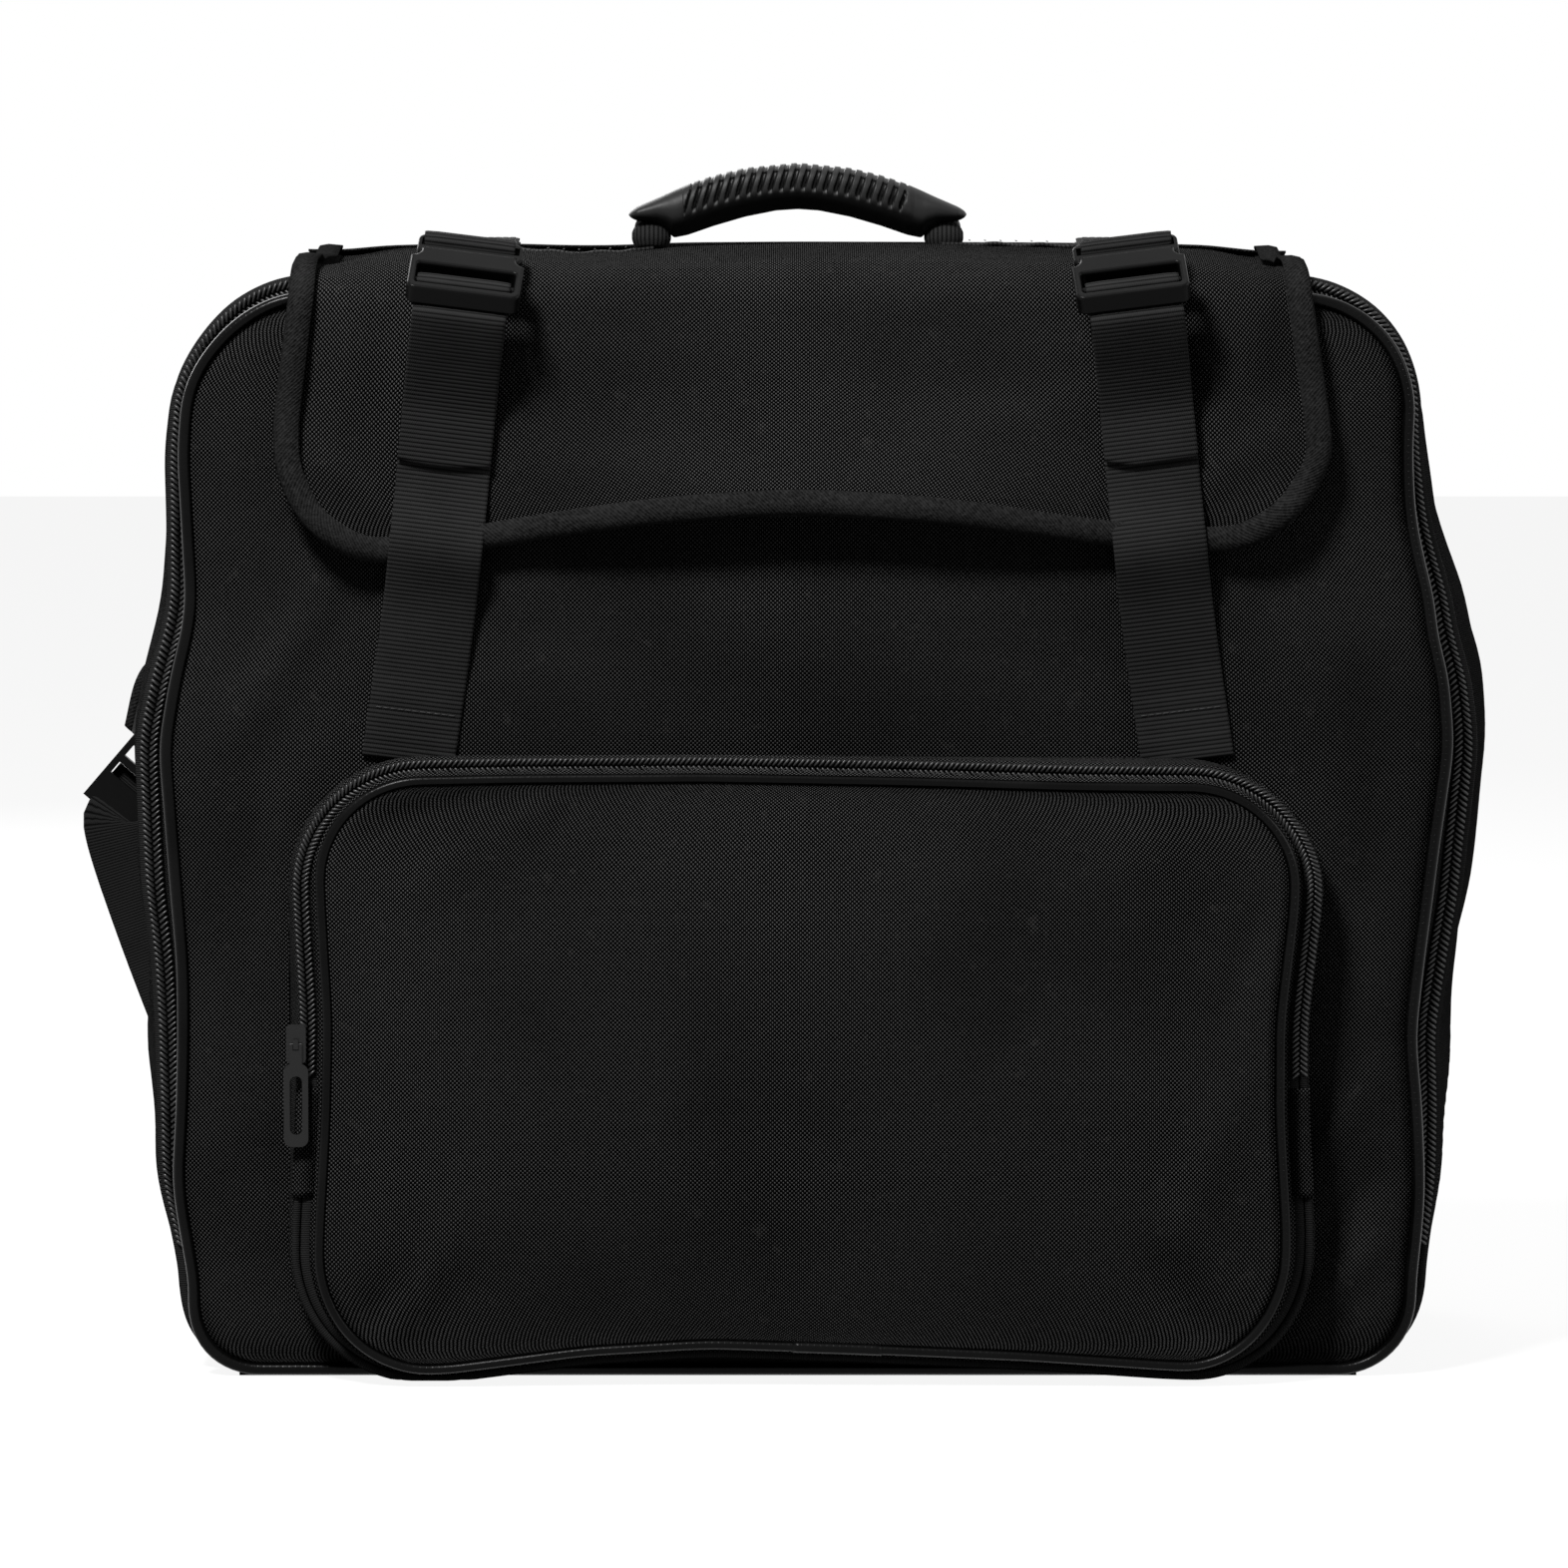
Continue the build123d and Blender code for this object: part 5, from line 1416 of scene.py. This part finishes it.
def grip_surface(x, turn):
    """Point of the grip: a squarish round about its middle line at each x.

    Above the middle the section is a superellipse of power 2.6, below it narrows towards a
    rounded keel. Slanting grooves are pressed into its upper part, all the way over the top.
    """
    top = smooth_curve(np.abs(x), grip_x, grip_top_z, 4 * mm)
    under = smooth_curve(np.abs(x), under_x, under_z, 1.2 * mm)
    middle, half = (top + under) / 2, (top - under) / 2
    c, s = np.cos(turn), np.sin(turn)
    y = np.sign(c) * np.abs(c) ** (2 / 2.5)
    z = np.sign(s) * np.abs(s) ** (2 / 2.5)
    deep = 10.0 * mm - 1.6 * mm * step(np.abs(x), 50 * mm, 70 * mm)
    deep = deep * (1 - 0.34 * step(-s, 0.1, 0.95) * step(-np.abs(x), -60 * mm, -50 * mm))
    end = np.sqrt(np.clip(1 - np.clip((np.abs(x) - 66.5 * mm) / (4.2 * mm), 0, 1) ** 2, 0.02, 1))
    height = middle + half * z * end
    share = (height - under) / (top - under)
    pitch = 4.55 * mm
    slant = x - np.tan(np.radians(17)) * (height - middle)
    place = slant / pitch + 0.5
    groove = step(np.cos(2 * np.pi * place), -0.05, 0.45)
    groove = groove * step(share, 0.40, 0.52) * ((slant > -47.6 * mm) & (slant < 43.4 * mm))
    press = groove * np.where(share > 0.86, 1.3 * mm, 3.2 * mm)
    lip = 0.5 * mm * step(share, 0.34, 0.42) * (np.abs(x) < 48 * mm)
    y = y * (deep * end + lip - press)
    height = height - press * 0.45 * step(s, 0.7, 0.98)
    return np.stack([x, handle_y + y, height], -1)


stations = np.concatenate([-np.linspace(70.7, 48.2, 34), np.linspace(-48, 44, 420),
                           np.linspace(44.5, 70.7, 36)]) * mm
turns = np.arange(64) * 2 * np.pi / 64
grip_points = grip_surface(*np.broadcast_arrays(stations[:, None], turns[None, :]))


def grip_rubber(name):
    """Satin moulded rubber: a fine grain, brighter and smoother where hands have polished it."""
    paint = Paint(name, IOR=1.50, Specular_IOR_Level=0.2)
    wide, fine = paint.grain((30.0, 4.0), (900.0, 2.0))
    polish = wide.between(0.35, 0.7)
    colour = paint.mix(polish, grey(0.005), grey(0.011))
    return paint.finish(colour, 0.46 - polish * 0.14 + fine * 0.08, fine, 0.06 * mm, 0.7)


rubber = grip_rubber("grip_rubber_satin")
grip_piece = loft("grip_moulding", grip_points, rubber)
dress(grip_piece, "handle", "grip_rubber", "handle_grip")


def enamelled(name, rough=0.28):
    """Black enamelled metal: nearly even gloss, thinner and brighter where it rubs."""
    paint = Paint(name, IOR=1.5, Specular_IOR_Level=0.25)
    wide, fine = paint.grain((60.0, 4.0), (500.0, 3.0))
    rubbed = wide.between(0.62, 0.78)
    colour = paint.mix(rubbed, grey(0.005), grey(0.022, 0.05))
    return paint.finish(colour, rough + wide * 0.15 - rubbed * 0.08, fine, 0.04 * mm, 0.5)


def spring_steel(name):
    """Blued spring steel with rolling streaks along it."""
    paint = Paint(name, Metallic=1.0)
    streak = paint.node("ShaderNodeMapping", None, Vector=paint.place(),
                        Scale=(6.0, 700.0, 700.0))
    lines = paint.noise(streak, 1.0, 3.0)
    colour = paint.mix(lines, grey(0.16, -0.1), grey(0.32, -0.05))
    return paint.finish(colour, 0.30 + lines * 0.2, lines, 0.03 * mm, 0.5)


ring_enamel = enamelled("black_ring_enamel")
ring_turn = np.arange(40) * 2 * np.pi / 40
wire_turn = np.arange(12) * 2 * np.pi / 12
ring_round = np.stack([np.cos(ring_turn), 0 * ring_turn, np.sin(ring_turn)], 1)
wire = 1.5 * mm
ring_z = 471.0 * mm
for side, name in sides:
    ring_middle = np.array([side * ring_x, handle_y, ring_z])
    ring_line = ring_middle + ring_round * np.array([5.6 * mm, 0, 4.5 * mm])
    ring_points = (ring_line[:, None, :] + ring_round[:, None, :] * np.cos(wire_turn)[None, :, None]
                   * wire + np.array([0, wire, 0]) * np.sin(wire_turn)[None, :, None])
    ring = loft(f"handle_ring_{name}", ring_points, ring_enamel, closed_rows=True)
    dress(ring, "handle", "black_steel", *for_both(side, "handle_rings"))
repaint(spring_steel("blued_spring_steel"), "handle_core")


eye_half = 8.2 * mm


def eye_surface(side, x, turn):
    """Webbing eye: a plump barrel round the ring's lower bar, flaring down to the flap."""
    share = np.abs(x / eye_half)
    radius = 7.6 * mm * np.sqrt(np.clip(1 - 0.90 * share ** 2.4, 0.05, 1))
    y = radius * np.cos(turn) * (1 + 0.25 * step(-np.sin(turn), 0.2, 1.0))
    z = np.where(np.sin(turn) > 0, radius * np.sin(turn), 4.9 * mm * np.sin(turn))
    squeeze = 1 - 0.12 * step(-np.sin(turn), 0.0, 0.8)
    return np.stack([side * ring_x + x * squeeze, handle_y + y, pivot_z + z], -1)


eye_x = np.linspace(-8.2, 8.2, 22) * mm
eye_turn = np.arange(40) * 2 * np.pi / 40
for side, name in sides:
    points = eye_surface(side, *np.broadcast_arrays(eye_x[:, None], eye_turn[None, :]))
    eye = loft(f"handle_eye_{name}", points, strap_webbing)
    dress(eye, "flap", "webbing", *for_both(side, "handle_loops"))

# Outside each eye the webbing lies on the flap, puckered by rows of stitches across it.
for side, name in sides:
    out_x = np.linspace(60, 128 if side < 0 else 131, 90) * mm
    flap_here = flap_place(side * out_x, np.full(90, flap_back_y - handle_y))[:, 2]
    pucker = 0.45 * mm * np.sin(out_x / (3.1 * mm)) * step(out_x, 68 * mm, 76 * mm)
    fade = 1 - step(out_x, 104 * mm, 116 * mm) * 0.7
    line = np.stack([side * out_x, 0 * out_x + handle_y, flap_here + 0.6 * mm + pucker * fade], 1)
    strip = webbing_band(f"handle_anchor_{name}", line[::side], backwards, 25 * mm,
                         strap_thickness, strap_webbing)
    dress(strip, "flap", "webbing", *for_both(side, "handle_webbing"))
    for place in np.arange(72, 106, 6.5):
        row = np.stack([np.full(10, side * place * mm), handle_y + np.linspace(-11, 11, 10) * mm,
                        np.full(10, np.interp(place * mm, out_x, flap_here) + 1.8 * mm)], 1)
        stitches(f"handle_anchor_stitches_{name}_{int(place * 10)}", row, upwards, "flap",
                 pitch=3.0 * mm, proud=0.5 * mm)


# ------------------------------------------------------------------ sliders and pulls
# The sliders and their pulls keep the solids' own shape. They are die-cast zinc with a black
# enamel, bright on worn edges.
zip_enamel = enamelled("black_zip_enamel", 0.22)
repaint(zip_enamel, "main_slider_left", "main_slider_right", "main_pull_left",
        "main_pull_right", "pocket_slider", "pocket_pull")


# ------------------------------------------------------------------ shoulder straps
# Two padded straps hang from a sewn patch high on the back. Each is foam in the bag's cloth
# with bound edges, and ends in a ladder lock on narrow webbing sewn to a patch at the foot.
strap_back_y = back_y + 1.6 * mm
shoulder_top = 415 * mm
shoulder_end = 238 * mm
pad_width = 62 * mm
pad_thickness = 9 * mm
narrow_width = 25 * mm
shoulder_x = 62 * mm
binding_radii = 2.6 * mm, 2.0 * mm
foot_patch_x, foot_patch_z = 244 * mm, 62 * mm


def arc_through(start, middle, end, count):
    """Even points on the circle through three points, from the first to the last."""
    (ax, az), (bx, bz), (cx, cz) = start, middle, end
    twice = 2 * (ax * (bz - cz) + bx * (cz - az) + cx * (az - bz))
    a2, b2, c2 = ax * ax + az * az, bx * bx + bz * bz, cx * cx + cz * cz
    ox = (a2 * (bz - cz) + b2 * (cz - az) + c2 * (az - bz)) / twice
    oz = (a2 * (cx - bx) + b2 * (ax - cx) + c2 * (bx - ax)) / twice
    first = np.arctan2(az - oz, ax - ox)
    last = np.arctan2(cz - oz, cx - ox)
    sweep = (last - first + np.pi) % (2 * np.pi) - np.pi
    angle = first + sweep * np.linspace(0, 1, count)
    radius = np.hypot(ax - ox, az - oz)
    return np.stack([ox + radius * np.cos(angle), oz + radius * np.sin(angle)], 1)


webbing_narrow = webbing_cloth("narrow_webbing_weave", 1.2 * mm, 0.013)
mesh_lining = plush("strap_lining", 0.014)
for (side, name), spread in zip(sides, (278 * mm, 214 * mm)):
    knee = ((shoulder_x + spread) / 2 * side, (shoulder_top + shoulder_end) / 2 + 34 * mm)
    arc = arc_through((side * shoulder_x, shoulder_top + pad_width), knee,
                      (side * spread, shoulder_end), 120)
    arc = arc[arc[:, 1] < shoulder_top + 26 * mm]
    line = np.stack([arc[:, 0], 0 * arc[:, 0] + strap_back_y + pad_thickness / 2, arc[:, 1]], 1)
    ahead = unit(np.gradient(line, axis=0))
    across = unit(np.cross(ahead, backwards))
    run = lengths(line)
    narrowing = 1 - 0.50 * (1 - step(run[-1] - run, -14 * mm, 26 * mm))
    share = np.sin(np.linspace(-np.pi / 2, np.pi / 2, 21))
    seam_dent = 0.18 * np.exp(-((np.abs(share) - 0.86) / 0.05) ** 2)
    half = pad_thickness / 2 * (np.clip(1 - np.abs(share) ** 5, 0.12, 1) - seam_dent)
    loose = ripple(line[:, None, 0] + 0 * share, line[:, None, 2] + share * pad_width,
                   60 * mm, 61, 1.2 * mm)
    u = share[None, :] * pad_width / 2 * narrowing[:, None]
    outer = line[:, None, :] + across[:, None, :] * u[..., None]
    inner = outer.copy()
    outer[..., 1] += half + loose * (1 - share[None, :] ** 4)
    inner[..., 1] -= half
    for sheet in (outer, inner):
        sheet[..., 2] = np.minimum(sheet[..., 2], shoulder_top + 1 * mm)
    shoulder_piece = pad(f"shoulder_pad_{name}", outer, inner, cloth, mesh_lining)
    dress(shoulder_piece, f"shoulder_strap_{name}", "cloth", f"shoulder_strap_{name}", fill=0.7)
    keep = line[:, 2] < shoulder_top - 2 * mm
    turn = np.arange(10) * 2 * np.pi / 10
    ring = (across[keep][:, None, :] * np.cos(turn)[None, :, None] * binding_radii[0]
            + np.array(backwards) * np.sin(turn)[None, :, None] * binding_radii[1])
    for edge in (-1, 1):
        reach = edge * (pad_width / 2 - 1.2 * mm) * narrowing[keep]
        seam = line[keep] + across[keep] * reach[:, None]
        place = "outer" if edge * side > 0 else "inner"
        dress(loft(f"shoulder_binding_{name}_{place}", seam[:, None, :] + ring, binding_twill),
              f"shoulder_strap_{name}", "webbing")

    # The pad's end narrows to a tongue that holds the lock, and the webbing runs on below.
    end, way = line[-1], ahead[-1]
    tongue_line = end + way * np.linspace(-26, 3.0, 20)[:, None] * mm
    tongue_line[:, 1] += 0.2 * mm
    tongue = webbing_band(f"lock_tongue_{name}", tongue_line, across[-1], narrow_width,
                          3.4 * mm, webbing_narrow)
    dress(tongue, f"shoulder_strap_{name}", "webbing")
    bend = end + way * 36.5 * mm
    last = np.array([side * foot_patch_x, strap_back_y + 0.9 * mm, foot_patch_z])
    sag = np.array([side * 3.0 * mm, 0, 0])
    route = np.stack([end + way * 14 * mm + [0, 3.2 * mm, 0],
                      end + way * 22 * mm + [0, 3.4 * mm, 0],
                      end + way * 30 * mm + [0, -1.5 * mm, 0], bend + [0, -3.6 * mm, 0],
                      bend * 0.62 + last * 0.38 + sag + [0, -1.0 * mm, 0],
                      bend * 0.25 + last * 0.75 + sag, last + [0, 0, 14 * mm], last])
    route[3:, 1] = np.clip(route[3:, 1], strap_back_y + 0.9 * mm, strap_back_y + 3.5 * mm)
    lower_line = even(smoothed(route), 2.4 * mm)
    lower_across = unit(np.cross(unit(np.gradient(lower_line, axis=0)), backwards))
    lower = webbing_band(f"lower_strap_{name}", lower_line, lower_across, narrow_width,
                         1.6 * mm, webbing_narrow)
    dress(lower, f"shoulder_strap_{name}", "webbing", f"lower_webbing_{name}")


# ------------------------------------------------------------------ patches on the back
# Doubled cloth patches take the pull of the straps, each with a box of stitches.
def patch(name, x, z, width, height, tilt=0.0, node=None):
    """Slightly domed patch with a rounded outline, and a row of stitches round it."""
    corner = dent = 5 * mm
    outline = (width, -height / 2, height / 2, corner, corner)
    turn = np.radians(tilt)

    def turned(across, up):
        return (x + across * np.cos(turn) - up * np.sin(turn),
                z + across * np.sin(turn) + up * np.cos(turn))

    *grid, gap = rounded_sheet(outline, 3.5 * mm)
    lift = 1.3 * mm * step(gap, 0, 3 * mm) - 0.5 * mm * np.exp(-((gap - dent) / (1.2 * mm)) ** 2)
    face = in_depth(*turned(*grid), back_y + 0.2 * mm + lift)
    under = in_depth(*turned(*grid), back_y - 1.0 * mm)
    piece = pad(name, under, face, strap_webbing)
    dress(piece, "case_shell", "webbing", *([node] if node else []))
    path = rounded_path(width - 2 * dent, -height / 2 + dent, height / 2 - dent,
                        2 * mm, 2 * mm, 2 * mm)[0]
    loop = np.concatenate([path, path[:1]])
    loop_x, loop_z = turned(loop[:, 0], loop[:, 2])
    stitches(f"{name}_stitches", np.stack([loop_x, 0 * loop_x + back_y + 1.0 * mm, loop_z], 1),
             backwards, "case_shell")


patch("shoulder_patch", 0.0, shoulder_top - 23 * mm, 186 * mm, 46 * mm, node="strap_patches")
for side, name in sides:
    patch(f"foot_patch_{name}", side * foot_patch_x, foot_patch_z, 34 * mm, 34 * mm, tilt=side * 8)


# ------------------------------------------------------------------ inside
# A stiff board of pressed fibre lies on the lining of the base, and a wide strap with a
# hook-and-loop end holds the instrument against the back.
def fibre_board(name):
    """Pressed fibre with a matt black face: short flecks and a soft mottling."""
    paint = Paint(name, Specular_IOR_Level=0.25)
    place = paint.place()
    stretched = paint.node("ShaderNodeMapping", None, Vector=place, Scale=(120.0, 420.0, 420.0))
    flecks = paint.noise(stretched, 1.0, 4.0)
    wide = paint.noise(place, 12.0, 4.0)
    colour = paint.mix(flecks.between(0.55, 0.75), grey(0.018), grey(0.05, 0.05))
    colour = paint.mix(wide.between(0.4, 0.7) * 0.4, colour, grey(0.012))
    return paint.finish(colour, 0.82 - flecks * 0.15, flecks, 0.15 * mm, 0.6)


repaint(fibre_board("pressed_fibre_board"), "base_board")
hold_low, hold_high = (np.array(c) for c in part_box("instrument_strap"))
hold_x = np.linspace(hold_low[0], hold_high[0], 160)
slack = 1.5 * mm * np.sin(np.pi * (hold_x - hold_low[0]) / np.ptp(hold_x)) ** 2
hold_y = hold_high[1] - 1.2 * mm - slack - 0.5 * mm * np.sin(hold_x * 55) ** 2
hold_line = np.stack([hold_x, hold_y, 0 * hold_x + (hold_low[2] + hold_high[2]) / 2], 1)
hold_strap = webbing_band("instrument_hold_strap", hold_line, upwards,
                          hold_high[2] - hold_low[2], 2.0 * mm, webbing_narrow)
dress(hold_strap, "case_shell", "webbing", "instrument_strap")
for side, name in sides:
    row = np.stack([np.full(20, side * 0.198), np.full(20, hold_high[1] - 2.4 * mm),
                    np.linspace(hold_low[2] + 3 * mm, hold_high[2] - 3 * mm, 20)], 1)
    stitches(f"hold_strap_stitches_{name}", row, forwards, "case_shell")
